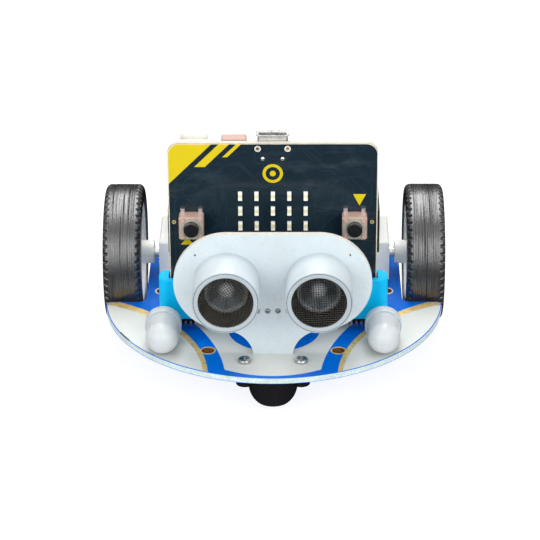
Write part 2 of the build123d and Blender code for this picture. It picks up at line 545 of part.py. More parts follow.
def screws():
    """Six equal screws: four up through the board into the brackets, two down through the holder's floor."""
    group = []
    for x in bracket_screw_places():
        shank = rod("Z", (x, SCREW_Y), SCREW_RADIUS, BOARD_BOTTOM, BOARD_BOTTOM + SCREW_LENGTH)
        head = rod("Z", (x, SCREW_Y), SCREW_HEAD_RADIUS, BOARD_BOTTOM - SCREW_HEAD_HEIGHT, BOARD_BOTTOM)
        group += both_sides(shank + cross_cut(head, x, SCREW_Y, BOARD_BOTTOM - SCREW_HEAD_HEIGHT))
    x = holder_screw_place()
    seat = BRACKET_TOP_Z + HOLDER_WALL - SCREW_HEAD_HEIGHT
    shank = rod("Z", (x, SCREW_Y), SCREW_RADIUS, seat - SCREW_LENGTH, seat)
    head = rod("Z", (x, SCREW_Y), SCREW_HEAD_RADIUS, seat, seat + SCREW_HEAD_HEIGHT)
    group += both_sides(shank + cross_cut(head, x, SCREW_Y, seat + SCREW_HEAD_HEIGHT))
    save("bracket_screws", *group)


def cross_cut(head, x, y, face_z):
    """Cut a cross recess into a screw head's outer face."""
    depth_z = (face_z - RECESS_DEPTH, face_z + RECESS_DEPTH)
    head -= post(x, y, (RECESS_REACH, RECESS_HALF_WIDTH), depth_z)
    return head - post(x, y, (RECESS_HALF_WIDTH, RECESS_REACH), depth_z)


# Battery holder

def cell_places():
    middle = (HOLDER_FRONT_Y + HOLDER_REAR_Y) / 2
    return [middle + CELL_PITCH * (i - (CELL_COUNT - 1) / 2) for i in range(CELL_COUNT)]


def battery_holder():
    floor_z = BRACKET_TOP_Z
    top_z = floor_z + HOLDER_HEIGHT
    x = (-HOLDER_HALF_LENGTH, HOLDER_HALF_LENGTH)
    tray = block(x, (HOLDER_FRONT_Y, HOLDER_REAR_Y), (floor_z, top_z))
    upright = tray.edges().filter_by(Axis.Z)
    lower = [e for e in tray.edges().filter_by(Axis.X) if e.center().Z < floor_z + 1]
    tray = fillet(list(upright) + lower, HOLDER_CORNER_RADIUS)
    wall = HOLDER_WALL
    inside_x = (x[0] + wall, x[1] - wall)
    inside_y = (HOLDER_FRONT_Y + wall, HOLDER_REAR_Y - wall)
    tray -= block(inside_x, inside_y, (floor_z + wall, top_z + 1))
    low_x = (x[0] + HOLDER_END_LENGTH, x[1] - HOLDER_END_LENGTH)
    side_z = (floor_z + HOLDER_SIDE_HEIGHT, top_z + 1)
    tray -= block(low_x, (HOLDER_FRONT_Y - 1, HOLDER_REAR_Y + 1), side_z)
    for first, second in zip(cell_places(), cell_places()[1:]):
        middle = (first + second) / 2
        divider_y = (middle - DIVIDER_HALF_THICK, middle + DIVIDER_HALF_THICK)
        tray += block((-CELL_LENGTH / 2, CELL_LENGTH / 2), divider_y, (floor_z, floor_z + DIVIDER_HEIGHT))
    screw_x = holder_screw_place()
    seat = floor_z + wall - SCREW_HEAD_HEIGHT
    for side in (-1, 1):
        place = (side * screw_x, SCREW_Y)
        tray -= rod("Z", place, SCREW_RADIUS + SCREW_HOLE_GAP, floor_z - 1, floor_z + wall + 1)
        tray -= rod("Z", place, SCREW_HEAD_RADIUS + SCREW_HOLE_GAP, seat, floor_z + wall + 1)
    save("battery_holder", tray)


def battery():
    """Three cells that face alternate ways, each between a leaf spring and a contact plate."""
    axis_z = BRACKET_TOP_Z + HOLDER_WALL + CELL_RADIUS + CELL_LIFT
    end_x = HOLDER_HALF_LENGTH - HOLDER_WALL
    plus_x = end_x - PLATE_GAP - PLUS_PLATE_THICK
    minus_x = PLATE_GAP + MINUS_PLATE_THICK - end_x
    nub_end = plus_x - PLATE_GAP
    case_end = nub_end - CELL_NUB_LENGTH
    case = rod("X", (0, 0), CELL_RADIUS, case_end - CELL_LENGTH, case_end)
    case = fillet(case.edges().filter_by(GeomType.CIRCLE), CELL_EDGE_RADIUS)
    case += rod("X", (0, 0), CELL_NUB_RADIUS, case_end, nub_end)
    plate_y = (-CONTACT_PLATE_HALF_WIDTH, CONTACT_PLATE_HALF_WIDTH)
    plate_z = (-CONTACT_PLATE_HALF_HEIGHT, CONTACT_PLATE_HALF_HEIGHT)
    plus_plate = block((plus_x, plus_x + PLUS_PLATE_THICK), plate_y, plate_z)
    minus_plate = block((minus_x - MINUS_PLATE_THICK, minus_x), plate_y, plate_z)
    minus_plate += Pos(minus_x, 0, 0) * contact_leaf(case_end - CELL_LENGTH - minus_x)
    cells, contacts = [], []
    for i, y in enumerate(cell_places()):
        turn = Pos(0, y, axis_z) * Rot(0, 0, 180 * (i % 2))
        cells.append(turn * case)
        contacts += [turn * piece for piece in (plus_plate, minus_plate)]
    save("battery_cells", *cells)
    save("battery_contacts", *contacts)


def contact_leaf(length):
    """A bent leaf spring that stands out from x = 0 and presses on a cell at the given length."""
    outer = [(0, LEAF_FOOT), (length, LEAF_CROWN), (length, -LEAF_CROWN), (0, -LEAF_FOOT)]
    inner_foot, inner_crown = LEAF_FOOT - 2 * LEAF_SHEET, LEAF_CROWN - LEAF_SHEET
    inner_length = length - LEAF_SHEET
    inner = [(0, -inner_foot), (inner_length, -inner_crown), (inner_length, inner_crown), (0, inner_foot)]
    plane = Plane(origin=(0, 0, 0), x_dir=(1, 0, 0), z_dir=(0, 1, 0))
    return extrude(plane * Polygon(*outer, *inner, align=None), LEAF_HALF_WIDTH, both=True)


# Control card

def control_card():
    plan = RectangleRounded(CARD_WIDTH, CARD_HEIGHT, CARD_CORNER_RADIUS)
    middle_z = CARD_TOP_Z - CARD_HEIGHT / 2
    plane = Plane(origin=(0, CARD_BACK_Y, middle_z), x_dir=(1, 0, 0), z_dir=(0, -1, 0))
    card = extrude(plane * plan, CARD_THICK)
    for x in EDGE_RINGS:
        place = (x, CARD_BOTTOM_Z + EDGE_RING_HEIGHT)
        card -= rod("Y", place, EDGE_RING_RADIUS, CARD_FRONT_Y - 1, CARD_BACK_Y + 1)
    for x, z, radius in CARD_VIAS:
        for side in (-1, 1):
            card -= rod("Y", (side * x, z), radius, CARD_FRONT_Y - 1, CARD_BACK_Y + 1)
    save("control_card", card)


def display():
    width, depth, height = LIGHT_SIZE
    lights = []
    for row in range(LIGHT_ROWS):
        middle = LIGHT_TOP_Z - row * LIGHT_PITCH
        z = (middle - height / 2, middle + height / 2)
        for column in range(LIGHT_ROWS):
            x = (column - (LIGHT_ROWS - 1) / 2) * LIGHT_PITCH
            lights.append(post(x, CARD_FRONT_Y - depth / 2, (width / 2, depth / 2), z))
    save("display_lights", *lights)


def push_buttons():
    """Button a is on -X and button b on +X, as seen from the front."""
    half = BUTTON_SIZE / 2
    z = BUTTON_Z
    base_y = (CARD_FRONT_Y - BUTTON_BASE_DEPTH, CARD_FRONT_Y)
    front_y = base_y[0] - BUTTON_COVER
    bases, covers, leads = [], [], []
    for name, x in (("a", -BUTTON_X), ("b", BUTTON_X)):
        base = block((x - half, x + half), base_y, (z - half, z + half))
        base = chamfer(base.edges().filter_by(Axis.Y), BUTTON_BASE_CHAMFER)
        well_radius = PLUNGER_RADIUS + BUTTON_WELL_GAP
        base -= rod("Y", (x, z), well_radius, base_y[0] - 1, base_y[0] + BUTTON_WELL_DEPTH)
        inset = half - BUTTON_COVER_INSET
        cover = block((x - inset, x + inset), (front_y, base_y[0]), (z - inset, z + inset))
        cover = chamfer(cover.edges().filter_by(Axis.Y), BUTTON_COVER_CHAMFER)
        cover -= rod("Y", (x, z), PLUNGER_RADIUS + RUNNING_GAP, front_y - 1, base_y[0] + 1)
        for side_x in (-1, 1):
            for side_z in (-1, 1):
                stud = (x + side_x * STUD_OFFSET, z + side_z * STUD_OFFSET)
                cover -= rod("Y", stud, STUD_RADIUS + STUD_GAP, front_y - 1, base_y[0] + 1)
                base += rod("Y", stud, STUD_RADIUS, front_y - STUD_PROUD, base_y[0] + STUD_ROOT)
                lead_x = x + side_x * LEAD_OFFSET
                lead_z = sorted((z + side_z * half, z + side_z * (half + LEAD_REACH)))
                lead_half = (LEAD_HALF_WIDTH, LEAD_DEPTH / 2)
                leads.append(post(lead_x, CARD_FRONT_Y - LEAD_DEPTH / 2, lead_half, lead_z))
        bases.append(base)
        covers.append(cover)
        plunger = rod("Y", (x, z), PLUNGER_RADIUS, front_y - PLUNGER_PROUD, base_y[0] + PLUNGER_TAIL)
        plunger = fillet(plunger.edges().sort_by(Axis.Y)[0], PLUNGER_EDGE_RADIUS)
        save("button_" + name, plunger)
    save("button_bases", *bases)
    save("button_covers", *covers)
    save("button_leads", *leads)


def usb_socket():
    """A folded shell with a mouth that flares on all four sides, and the tongue inside it."""
    y, top, half = CARD_BACK_Y, USB_TOP_Z, USB_HALF_WIDTH
    floor_z = top - USB_LENGTH + USB_FLOOR
    shell = block((-half, half), (y, y + USB_DEPTH), (top - USB_LENGTH, top))
    shell = chamfer(shell.edges().filter_by(Axis.Z), USB_CORNER)
    wide = half + USB_FLARE
    mouth = block((-wide, wide), (y - USB_FLARE, y + USB_DEPTH + USB_FLARE), (top - USB_MOUTH_LENGTH, top))
    mouth = chamfer(mouth.edges().filter_by(Axis.Z), USB_CORNER + USB_FLARE / 2)
    mouth = chamfer(mouth.faces().sort_by(Axis.Z)[0].edges(), USB_FLARE_SLOPE)
    shell += mouth
    sheet = USB_SHEET
    shell -= block((sheet - half, half - sheet), (y + sheet, y + USB_DEPTH - sheet), (floor_z, top + 1))
    opening_y = (y - USB_FLARE + sheet, y + USB_DEPTH + USB_FLARE - sheet)
    shell -= block((sheet - wide, wide - sheet), opening_y, (top - USB_MOUTH_LENGTH + sheet, top + 1))
    save("usb_socket", shell)
    tongue_y = (y + TONGUE_Y[0], y + TONGUE_Y[1])
    save("usb_tongue", block((-TONGUE_HALF_WIDTH, TONGUE_HALF_WIDTH), tongue_y, (floor_z, top - TONGUE_DROP)))


def card_back_parts():
    """What else is on the back of the control card."""
    y = CARD_BACK_Y
    case = block(RESET_X, (y, y + RESET_DEPTH), (RESET_TOP_Z - BUTTON_SIZE, RESET_TOP_Z))
    case = chamfer(case.edges().filter_by(Axis.Y), BUTTON_BASE_CHAMFER)
    centre = (sum(RESET_X) / 2, RESET_TOP_Z - BUTTON_SIZE / 2)
    case -= rod("Y", centre, PLUNGER_RADIUS + RUNNING_GAP, y + RESET_WELL_Y, y + RESET_DEPTH + 1)
    save("reset_switch", case)
    save("reset_button", rod("Y", centre, PLUNGER_RADIUS, y + RESET_BUTTON_Y[0], y + RESET_BUTTON_Y[1]))

    top, wall = BATTERY_SOCKET_TOP_Z, BATTERY_SOCKET_WALL
    socket = block(BATTERY_SOCKET_X, (y, y + BATTERY_SOCKET_DEPTH), (top - BATTERY_SOCKET_LENGTH, top))
    inner = (BATTERY_SOCKET_X[0] + wall, BATTERY_SOCKET_X[1] - wall)
    cavity_y = (y + wall, y + BATTERY_SOCKET_DEPTH - wall)
    socket -= block(inner, cavity_y, (top - BATTERY_SOCKET_CAVITY, top + 1))
    groove_x = (inner[0] + BATTERY_SOCKET_GROOVE_INSET, inner[1] - BATTERY_SOCKET_GROOVE_INSET)
    groove_y = (cavity_y[1] + wall / 2, y + BATTERY_SOCKET_DEPTH + 1)
    socket -= block(groove_x, groove_y, (top - BATTERY_SOCKET_GROOVE, top + 1))
    save("battery_socket", socket)
    save("card_chips", *[block(x, (y, y + depth), z) for x, z, depth in CARD_CHIPS])


# Ultrasonic sensor

def sonar_board():
    r, side, fillet_r = SONAR_END_RADIUS, SONAR_SPACING / 2, SONAR_NECK_FILLET
    middle = Pos(0, SONAR_CENTRE_Z)
    plan = Pos(side, SONAR_CENTRE_Z) * Circle(r) + Pos(-side, SONAR_CENTRE_Z) * Circle(r)
    plan += middle * Rectangle(2 * side, 2 * r)
    # Each side of the neck is an arc that is tangent to the round end above it.
    arc_x = SONAR_NECK_HALF_WIDTH + fillet_r
    arc_z = SONAR_CENTRE_Z - sqrt((r + fillet_r) ** 2 - (arc_x - side) ** 2)
    touch_x = side + (arc_x - side) * r / (r + fillet_r)
    neck_height = SONAR_CENTRE_Z - r / 2 - BOARD_TOP
    neck = Pos(0, BOARD_TOP + neck_height / 2) * Rectangle(2 * touch_x, neck_height)
    for sign in (-1, 1):
        neck -= Pos(sign * arc_x, arc_z) * Circle(fillet_r)
    plan += neck
    plane = Plane(origin=(0, SONAR_FRONT_Y + SONAR_THICK, 0), x_dir=(1, 0, 0), z_dir=(0, -1, 0))
    plate = extrude(plane * plan, SONAR_THICK)
    holes = [(x, SONAR_PIN_Z, SONAR_PIN_HOLE_RADIUS) for x in sonar_pin_places()]
    holes += [(sign * SONAR_VIA_X, SONAR_VIA_Z, SONAR_VIA_RADIUS) for sign in (-1, 1)]
    for x, z, radius in holes:
        plate -= rod("Y", (x, z), radius, SONAR_FRONT_Y - 1, SONAR_FRONT_Y + SONAR_THICK + 1)
    save("sonar_board", plate)


def sonar_pin_places():
    return [PIN_PITCH * (i - (SONAR_PIN_COUNT - 1) / 2) for i in range(SONAR_PIN_COUNT)]


def sonar_eyes():
    front_y = SONAR_FRONT_Y - CAN_LENGTH
    floor_y = SONAR_FRONT_Y - CAN_FLOOR
    side = SONAR_SPACING / 2
    place = (side, SONAR_CENTRE_Z)
    can = rod("Y", place, CAN_RADIUS, front_y, SONAR_FRONT_Y)
    can = fillet(can.edges().filter_by(GeomType.CIRCLE).sort_by(Axis.Y)[0], CAN_EDGE_RADIUS)
    can -= rod("Y", place, LIP_INNER_RADIUS, front_y - 1, front_y + MESH_RECESS)
    can -= rod("Y", place, CAN_RADIUS - CAN_WALL, front_y + MESH_RECESS, floor_y)
    save_pair("sonar_can", can)
    mesh_y = (front_y + MESH_RECESS, front_y + MESH_RECESS + MESH_THICK)
    mesh = rod("Y", place, CAN_RADIUS - CAN_WALL, *mesh_y)
    save("sonar_meshes", *both_sides(mesh))
    # The sounding cone opens forward and stands on a round base.
    rim_y = mesh_y[1] + CONE_RECESS
    base_y = floor_y - CONE_BASE_THICK
    solid = Rot(90, 0, 0) * Cone(CONE_BOTTOM_RADIUS, CONE_RIM_RADIUS, CONE_HEIGHT)
    middle_y = rim_y + CONE_HEIGHT / 2
    outer = Pos(side, middle_y, SONAR_CENTRE_Z) * solid
    inner = Pos(side, middle_y - CONE_SHEET, SONAR_CENTRE_Z) * solid
    cone = rod("Y", place, CONE_BASE_RADIUS, base_y, floor_y)
    cone += rod("Y", place, CONE_STEM_RADIUS, rim_y + CONE_HEIGHT - CONE_SHEET / 2, base_y)
    cone += outer - inner
    save("sonar_cones", *both_sides(cone))


def sonar_back_parts():
    back_y = SONAR_FRONT_Y + SONAR_THICK
    end_y = back_y + SONAR_PIN_REACH
    half, collar = PIN_HALF_WIDTH, PIN_COLLAR_HALF_WIDTH
    z = (SONAR_PIN_Z - half, SONAR_PIN_Z + half)
    pins = []
    for x in sonar_pin_places():
        pin = block((x - half, x + half), (SONAR_FRONT_Y - SONAR_PIN_PROUD, end_y), z)
        pin += post(x, end_y - half, half, (BOARD_TOP, z[1]))
        collar_y = (back_y, back_y + SONAR_COLLAR_DEPTH)
        pin += block((x - collar, x + collar), collar_y, (SONAR_PIN_Z - collar, SONAR_PIN_Z + collar))
        pins.append(pin)
    save("sonar_pins", *pins)
    save("sonar_chips", *[block(x, (back_y, back_y + depth), z) for x, z, depth in SONAR_CHIPS])


# Headlights

def headlights():
    back_y = LAMP_FLANGE_FRONT_Y + LAMP_FLANGE_THICK
    place = (LAMP_X, LAMP_Z)
    dome_y = LAMP_TIP_Y + LAMP_RADIUS
    lamp = rod("Y", place, LAMP_RADIUS, dome_y, LAMP_FLANGE_FRONT_Y)
    lamp += Pos(LAMP_X, dome_y, LAMP_Z) * Sphere(LAMP_RADIUS)
    lamp += rod("Y", place, LAMP_FLANGE_RADIUS, LAMP_FLANGE_FRONT_Y, back_y)
    save_pair("headlight", lamp)
    leads = []
    half, end_y = LAMP_LEAD_HALF_WIDTH, back_y + LAMP_LEAD_REACH
    for i in range(LAMP_LEADS):
        x = LAMP_X + LAMP_LEAD_PITCH * (i - (LAMP_LEADS - 1) / 2)
        lead = block((x - half, x + half), (back_y, end_y), (LAMP_Z - half, LAMP_Z + half))
        lead += post(x, end_y - half, half, (BOARD_TOP, LAMP_Z + half))
        leads += both_sides(lead)
    save("headlight_leads", *leads)


# Ball caster

def caster():
    shell = rod("Z", (0, CASTER_Y), CASTER_RADIUS, CASTER_MOUTH_Z, BOARD_BOTTOM)
    round_over = Pos(0, CASTER_Y, CASTER_RADIUS) * Sphere(CASTER_RADIUS + RUNNING_GAP)
    upper = rod("Z", (0, CASTER_Y), CASTER_RADIUS, CASTER_RADIUS, BOARD_BOTTOM)
    shell &= round_over + upper
    for side in (-1, 1):
        place = (side * CASTER_SCREW_X, CASTER_Y)
        shell += rod("Z", place, CASTER_BOSS_RADIUS, CASTER_BOSS_BOTTOM_Z, BOARD_BOTTOM)
    shell -= Pos(0, CASTER_Y, CASTER_BALL_RADIUS) * Sphere(CASTER_BALL_RADIUS + RUNNING_GAP)
    bore_bottom = CASTER_BOSS_BOTTOM_Z + CASTER_BORE_END
    shell -= rod("Z", (0, CASTER_Y), CASTER_MOUTH_RADIUS, 0, CASTER_MOUTH_Z + CASTER_MOUTH_DEPTH)
    for side in (-1, 1):
        place = (side * CASTER_SCREW_X, CASTER_Y)
        shell -= rod("Z", place, CASTER_SCREW_RADIUS, bore_bottom, BOARD_BOTTOM + 1)
    save("caster_housing", shell)
    save("caster_ball", Pos(0, CASTER_Y, CASTER_BALL_RADIUS) * Sphere(CASTER_BALL_RADIUS))
    place = (CASTER_SCREW_X, CASTER_Y)
    head_top = BOARD_TOP + CASTER_HEAD_HEIGHT
    head = rod("Z", place, CASTER_HEAD_RADIUS, BOARD_TOP, head_top)
    head = fillet(head.edges().sort_by(Axis.Z)[-1], CASTER_HEAD_EDGE)
    head = cross_cut(head, *place, head_top)
    shank = rod("Z", place, CASTER_SCREW_RADIUS, CASTER_BOSS_BOTTOM_Z + CASTER_SCREW_END, BOARD_TOP)
    save("caster_screws", *both_sides(head + shank))


main_board()
edge_connector()
board_electronics()
power_switch()
gearbox()
motor()
gear_train()
wheel()
motor_bracket()
screws()
battery_holder()
battery()
control_card()
display()
push_buttons()
usb_socket()
card_back_parts()
sonar_board()
sonar_eyes()
sonar_back_parts()
headlights()
caster()

os.makedirs("parts", exist_ok=True)
for name, shape in NODES.items():
    export_step(shape, "parts/" + name + ".step")
print(len(NODES), "nodes")
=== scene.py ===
import json
import math
import random

import bmesh
import bpy
import numpy as np
from mathutils import Matrix, Vector


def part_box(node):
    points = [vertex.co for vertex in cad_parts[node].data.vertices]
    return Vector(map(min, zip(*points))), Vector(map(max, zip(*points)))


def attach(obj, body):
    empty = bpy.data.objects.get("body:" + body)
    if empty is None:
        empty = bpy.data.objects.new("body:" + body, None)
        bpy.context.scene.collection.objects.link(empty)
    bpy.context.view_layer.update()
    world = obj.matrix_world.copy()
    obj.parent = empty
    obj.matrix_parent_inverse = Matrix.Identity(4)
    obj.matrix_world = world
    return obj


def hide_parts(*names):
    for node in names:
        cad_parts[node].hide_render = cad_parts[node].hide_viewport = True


# Looks for a small two-wheeled coding robot. Lengths are written in millimetres and scaled by MM.

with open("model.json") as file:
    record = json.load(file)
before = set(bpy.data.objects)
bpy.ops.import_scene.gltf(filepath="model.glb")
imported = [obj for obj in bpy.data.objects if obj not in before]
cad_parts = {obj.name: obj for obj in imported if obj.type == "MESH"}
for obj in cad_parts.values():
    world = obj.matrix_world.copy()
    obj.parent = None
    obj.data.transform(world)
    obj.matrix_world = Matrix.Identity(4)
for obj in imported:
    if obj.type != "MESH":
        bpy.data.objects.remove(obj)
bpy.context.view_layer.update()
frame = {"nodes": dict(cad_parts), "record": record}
MM = 0.001
SLOTS = {part["node"]: part["material_slot"] for part in frame["record"]["subparts"]}
SIDES = ((-1, "right"), (1, "left"))
LIGHT_ROWS, LIGHT_HEIGHT = 5, 2.3


def box_mm(node):
    """A CAD node's low and high corner in millimetres."""
    low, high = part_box(node)
    return low / MM, high / MM


board_low, board_high = box_mm("main_board")
BOARD_RADIUS = board_high.y
BOARD_TOP, BOARD_BOTTOM = board_high.z, board_low.z
card_low, card_high = box_mm("control_card")
CARD_FRONT, CARD_BACK, CARD_TOP = card_low.y, card_high.y, card_high.z
CARD_HALF = card_high.x
sonar_low, sonar_high = box_mm("sonar_board")
SONAR_FRONT, SONAR_BACK = sonar_low.y, sonar_high.y
PRINT_THICK = 0.035
PRINT_SINK = 0.01


# Materials


class Paint:
    """One node material, with short calls for the nodes that it is made of. Lengths are in millimetres."""

    def __init__(self, name):
        self.material = bpy.data.materials.new(name)
        self.material.use_nodes = True
        self.tree = self.material.node_tree
        self.shader = next(n for n in self.tree.nodes if n.type == "BSDF_PRINCIPLED")
        self.place = self.add("TexCoord").outputs["Object"]
        self.face = self.add("NewGeometry").outputs["Normal"]

    def feed(self, socket, value):
        if isinstance(value, bpy.types.NodeSocket):
            self.tree.links.new(value, socket)
        elif socket.type == "RGBA":
            socket.default_value = (*value[:3], 1.0)
        else:
            socket.default_value = value

    def add(self, kind, inputs=None, **settings):
        made = self.tree.nodes.new("ShaderNode" + kind)
        for key, value in settings.items():
            setattr(made, key, value)
        for key, value in (inputs or {}).items():
            self.feed(made.inputs[key], value)
        return made

    def maths(self, operation, a, b=0.0, c=0.0):
        return self.add("Math", {0: a, 1: b, 2: c}, operation=operation).outputs[0]

    def spread(self, value, low, high, start=0.0, end=1.0):
        limits = {"Value": value, "From Min": low, "From Max": high, "To Min": start, "To Max": end}
        return self.add("MapRange", limits).outputs["Result"]

    def mix(self, share, a, b):
        return self.add("Mix", {0: share, 6: a, 7: b}, data_type="RGBA").outputs[2]

    def axes(self, vector=None):
        return self.add("SeparateXYZ", {0: vector or self.place}).outputs

    def noise(self, size, detail=3.0, stretch=(1, 1, 1), rough=0.55):
        """Smooth noise whose features are about size wide, longer along an axis with a small stretch."""
        where = self.place
        if stretch != (1, 1, 1):
            where = self.add("Mapping", {"Vector": where, "Scale": stretch}).outputs[0]
        settings = {"Vector": where, "Scale": 1 / (size * MM), "Detail": detail, "Roughness": rough}
        return self.add("TexNoise", settings).outputs[0]

    def bump(self, height, depth, normal=None):
        inputs = {"Height": height, "Distance": depth * MM, "Strength": 1.0}
        if normal is not None:
            inputs["Normal"] = normal
        return self.add("Bump", inputs).outputs["Normal"]

    def waves(self, value, pitch):
        """A sine of a coordinate that repeats every pitch, from -1 to 1."""
        return self.maths("SINE", self.maths("MULTIPLY", value, 2 * math.pi / (pitch * MM)))

    def rubbed(self, rounded):
        """Ragged patches along the edges that a rounded normal turns away from the face."""
        turned_away = self.add("VectorMath", {0: rounded, 1: self.face}, operation="DOT_PRODUCT")
        rim = self.spread(turned_away.outputs["Value"], 0.99, 0.86)
        ragged = self.spread(self.noise(0.5, 6.0, rough=0.7), 0.47, 0.66)
        return self.maths("MULTIPLY", rim, ragged)

    def finish(self, colour, rough, vary=0.08, blotch=5.0, grain=0.25, grain_depth=0.004, smudge=0.08,
               edge=0.12, worn=None, relief=None, relief_depth=0.0, **sockets):
        """Colour with blotches, roughness with smudges, a fine grain, and rounded edges that wear."""
        tone = self.spread(self.noise(blotch, 5.0), 0.3, 0.7, 1 - vary, 1 + vary)
        fine = self.noise(grain, 4.0)
        tone = self.maths("MULTIPLY", tone, self.spread(fine, 0.2, 0.8, 1 - vary / 2, 1 + vary / 2))
        shown = self.add("HueSaturation", {"Color": colour, "Value": tone}).outputs[0]
        smooth = self.noise(blotch * 0.6, 6.0, rough=0.65)
        shine = self.maths("ADD", rough, self.spread(smooth, 0.3, 0.7, -smudge, smudge))
        normal = None
        if edge:
            normal = self.add("Bevel", {"Radius": edge * MM}, samples=4).outputs[0]
            if worn is not None:
                shown = self.mix(self.rubbed(normal), shown, worn)
        if relief is not None:
            normal = self.bump(relief, relief_depth, normal)
        normal = self.bump(fine, grain_depth, normal)
        self.feed(self.shader.inputs["Base Color"], shown)
        self.feed(self.shader.inputs["Roughness"], shine)
        self.feed(self.shader.inputs["Normal"], normal)
        for key, value in sockets.items():
            self.feed(self.shader.inputs[key.replace("_", " ")], value)
        return self.material


def plastic(name, colour, rough, worn, **more):
    """Moulded plastic with a fine spark-eroded grain and slightly paler edges."""
    paint = Paint(name)
    scratches = paint.spread(paint.noise(0.3, 2.0, stretch=(0.06, 1, 1)), 0.62, 0.7)
    return paint.finish(colour, rough, worn=worn, relief=scratches, relief_depth=-0.002, **more)


def metal(name, colour, rough, stain, stretch=(1, 1, 1), **more):
    """Plated or brushed metal with stains and fine scratches that run along the stretched axis."""
    paint = Paint(name)
    lines = paint.noise(0.12, 3.0, stretch=stretch)
    stained = paint.spread(paint.noise(2.2, 6.0, rough=0.7), 0.52, 0.72)
    tint = paint.mix(stained, colour, stain)
    settings = {"vary": 0.1, "relief": lines, "relief_depth": 0.004, "Metallic": 1.0, "worn": colour}
    settings.update(more)
    return paint.finish(tint, rough, **settings)


def circuit_board(name, colour, cut, thick_axis, rough, faces, cloth_tint=0.15, painted_sheen=None, **more):
    """Lacquer over glass cloth. The bare layered cloth shows on the cut edges between the two faces."""
    paint = Paint(name)
    axes = paint.axes()
    across = paint.maths("ABSOLUTE", paint.axes(paint.face)[thick_axis])
    flat = paint.spread(across, 0.45, 0.55)
    first, second = [axes[i] for i in range(3) if i != thick_axis]
    cloth = paint.maths("MULTIPLY", paint.waves(first, 0.62), paint.waves(second, 0.62))
    paler = [c * 1.4 + 0.01 for c in colour]
    tint = paint.mix(paint.spread(cloth, -1.0, 1.0, 0.0, cloth_tint), colour, paler)
    # Optional faint lighter patches mixed into the colour: a painted sheen that stands in for reflected
    # light on the gloss.
    if painted_sheen is not None:
        sheen_patches = paint.spread(paint.noise(7.0, 6.0, stretch=(0.5, 1, 1.4), rough=0.7), 0.52, 0.74, 0.0, 0.8)
        tint = paint.mix(sheen_patches, tint, painted_sheen)
    layers = paint.waves(axes[thick_axis], 0.2)
    speckle = paint.noise(0.28, 5.0, rough=0.75)
    threads = paint.maths("MULTIPLY_ADD", layers, 0.12, speckle)
    gap, thread = [c * 0.5 for c in cut], [min(1, c * 1.35) for c in cut]
    bare = paint.mix(paint.spread(threads, 0.3, 0.75), gap, thread)
    depth = paint.maths("ABSOLUTE", paint.maths("SUBTRACT", axes[thick_axis], sum(faces) / 2 * MM))
    half = abs(faces[1] - faces[0]) / 2
    film = paint.spread(depth, (half - 0.16) * MM, (half - 0.08) * MM)
    side = paint.mix(film, bare, colour)
    shown = paint.mix(flat, side, tint)
    shine = paint.spread(flat, 0.0, 1.0, 0.75, rough)
    return paint.finish(shown, shine, relief=cloth, relief_depth=0.0015, smudge=0.07, edge=0.06, **more)


def tyre_rubber():
    """Dark rubber, polished in streaks round the tread and dusty in the grooves."""
    paint = Paint("tyre_rubber")
    streaks = paint.noise(0.2, 6.0, stretch=(1, 0.035, 0.035), rough=0.7)
    patches = paint.noise(2.6, 5.0, stretch=(1, 0.3, 0.3), rough=0.6)
    polish = paint.maths("MULTIPLY_ADD", patches, 0.5, paint.maths("MULTIPLY", streaks, 0.5))
    tint = paint.mix(paint.spread(polish, 0.35, 0.66), (0.002, 0.002, 0.0025), (0.024, 0.024, 0.0255))
    specks = paint.spread(paint.noise(0.35, 3.0), 0.735, 0.76)
    tint = paint.mix(specks, tint, (0.35, 0.35, 0.35))
    shine = paint.spread(streaks, 0.3, 0.7, 0.4, 0.2)
    return paint.finish(tint, shine, relief=streaks, relief_depth=0.06, smudge=0.06, grain_depth=0.01,
                        edge=0, vary=0.1, Specular_IOR_Level=1.0, IOR=1.6)


def frosted(name, colour):
    """Milky moulded plastic that light soaks into."""
    paint = Paint(name)
    cloudy = paint.noise(1.6, 4.0)
    tint = paint.mix(paint.spread(cloudy, 0.3, 0.7), [c * 0.95 for c in colour], colour)
    return paint.finish(tint, 0.26, vary=0.015, smudge=0.02, grain_depth=0.002, edge=0.1,
                        worn=(0.66, 0.69, 0.7), Subsurface_Weight=0.6, Subsurface_Scale=2.2 * MM,
                        Subsurface_Radius=(1.0, 1.0, 1.1), Specular_IOR_Level=0.35)


def can_metal():
    """Pale sensor cans with a greyer rolled lip."""
    paint = Paint("can_aluminium")
    front = box_mm("sonar_can_left")[0].y
    lip = paint.spread(paint.axes()[1], (front + 0.12) * MM, (front + 0.24) * MM, 1.0, 0.0)
    tint = paint.mix(lip, (0.49, 0.54, 0.565), (0.35, 0.4, 0.43))
    stained = paint.spread(paint.noise(2.2, 6.0, rough=0.7), 0.52, 0.72, 0.0, 0.12)
    lines = paint.noise(0.12, 3.0)
    return paint.finish(paint.mix(stained, tint, (0.4, 0.45, 0.48)), 0.48, vary=0.05, relief=lines,
                        relief_depth=0.004, worn=(0.6, 0.65, 0.68), Metallic=0.15)


def display_light():
    """Small white lamps with a yellowish cell along the middle of each."""
    paint = Paint("light_white")
    low, high = box_mm("display_lights")
    height = LIGHT_HEIGHT
    pitch = (high.z - low.z - height) / (LIGHT_ROWS - 1)
    z = paint.axes()[2]
    offset = paint.maths("SUBTRACT", z, (low.z + height / 2) * MM)
    from_middle = paint.maths("PINGPONG", offset, pitch / 2 * MM)
    cell = paint.spread(from_middle, 0.35 * MM, 0.6 * MM, 1.0, 0.0)
    tint = paint.mix(cell, (0.86, 0.86, 0.82), (0.72, 0.66, 0.42))
    return paint.finish(tint, 0.3, vary=0.05, worn=(0.95, 0.95, 0.92), Subsurface_Weight=0.2,
                        Subsurface_Scale=0.5 * MM)


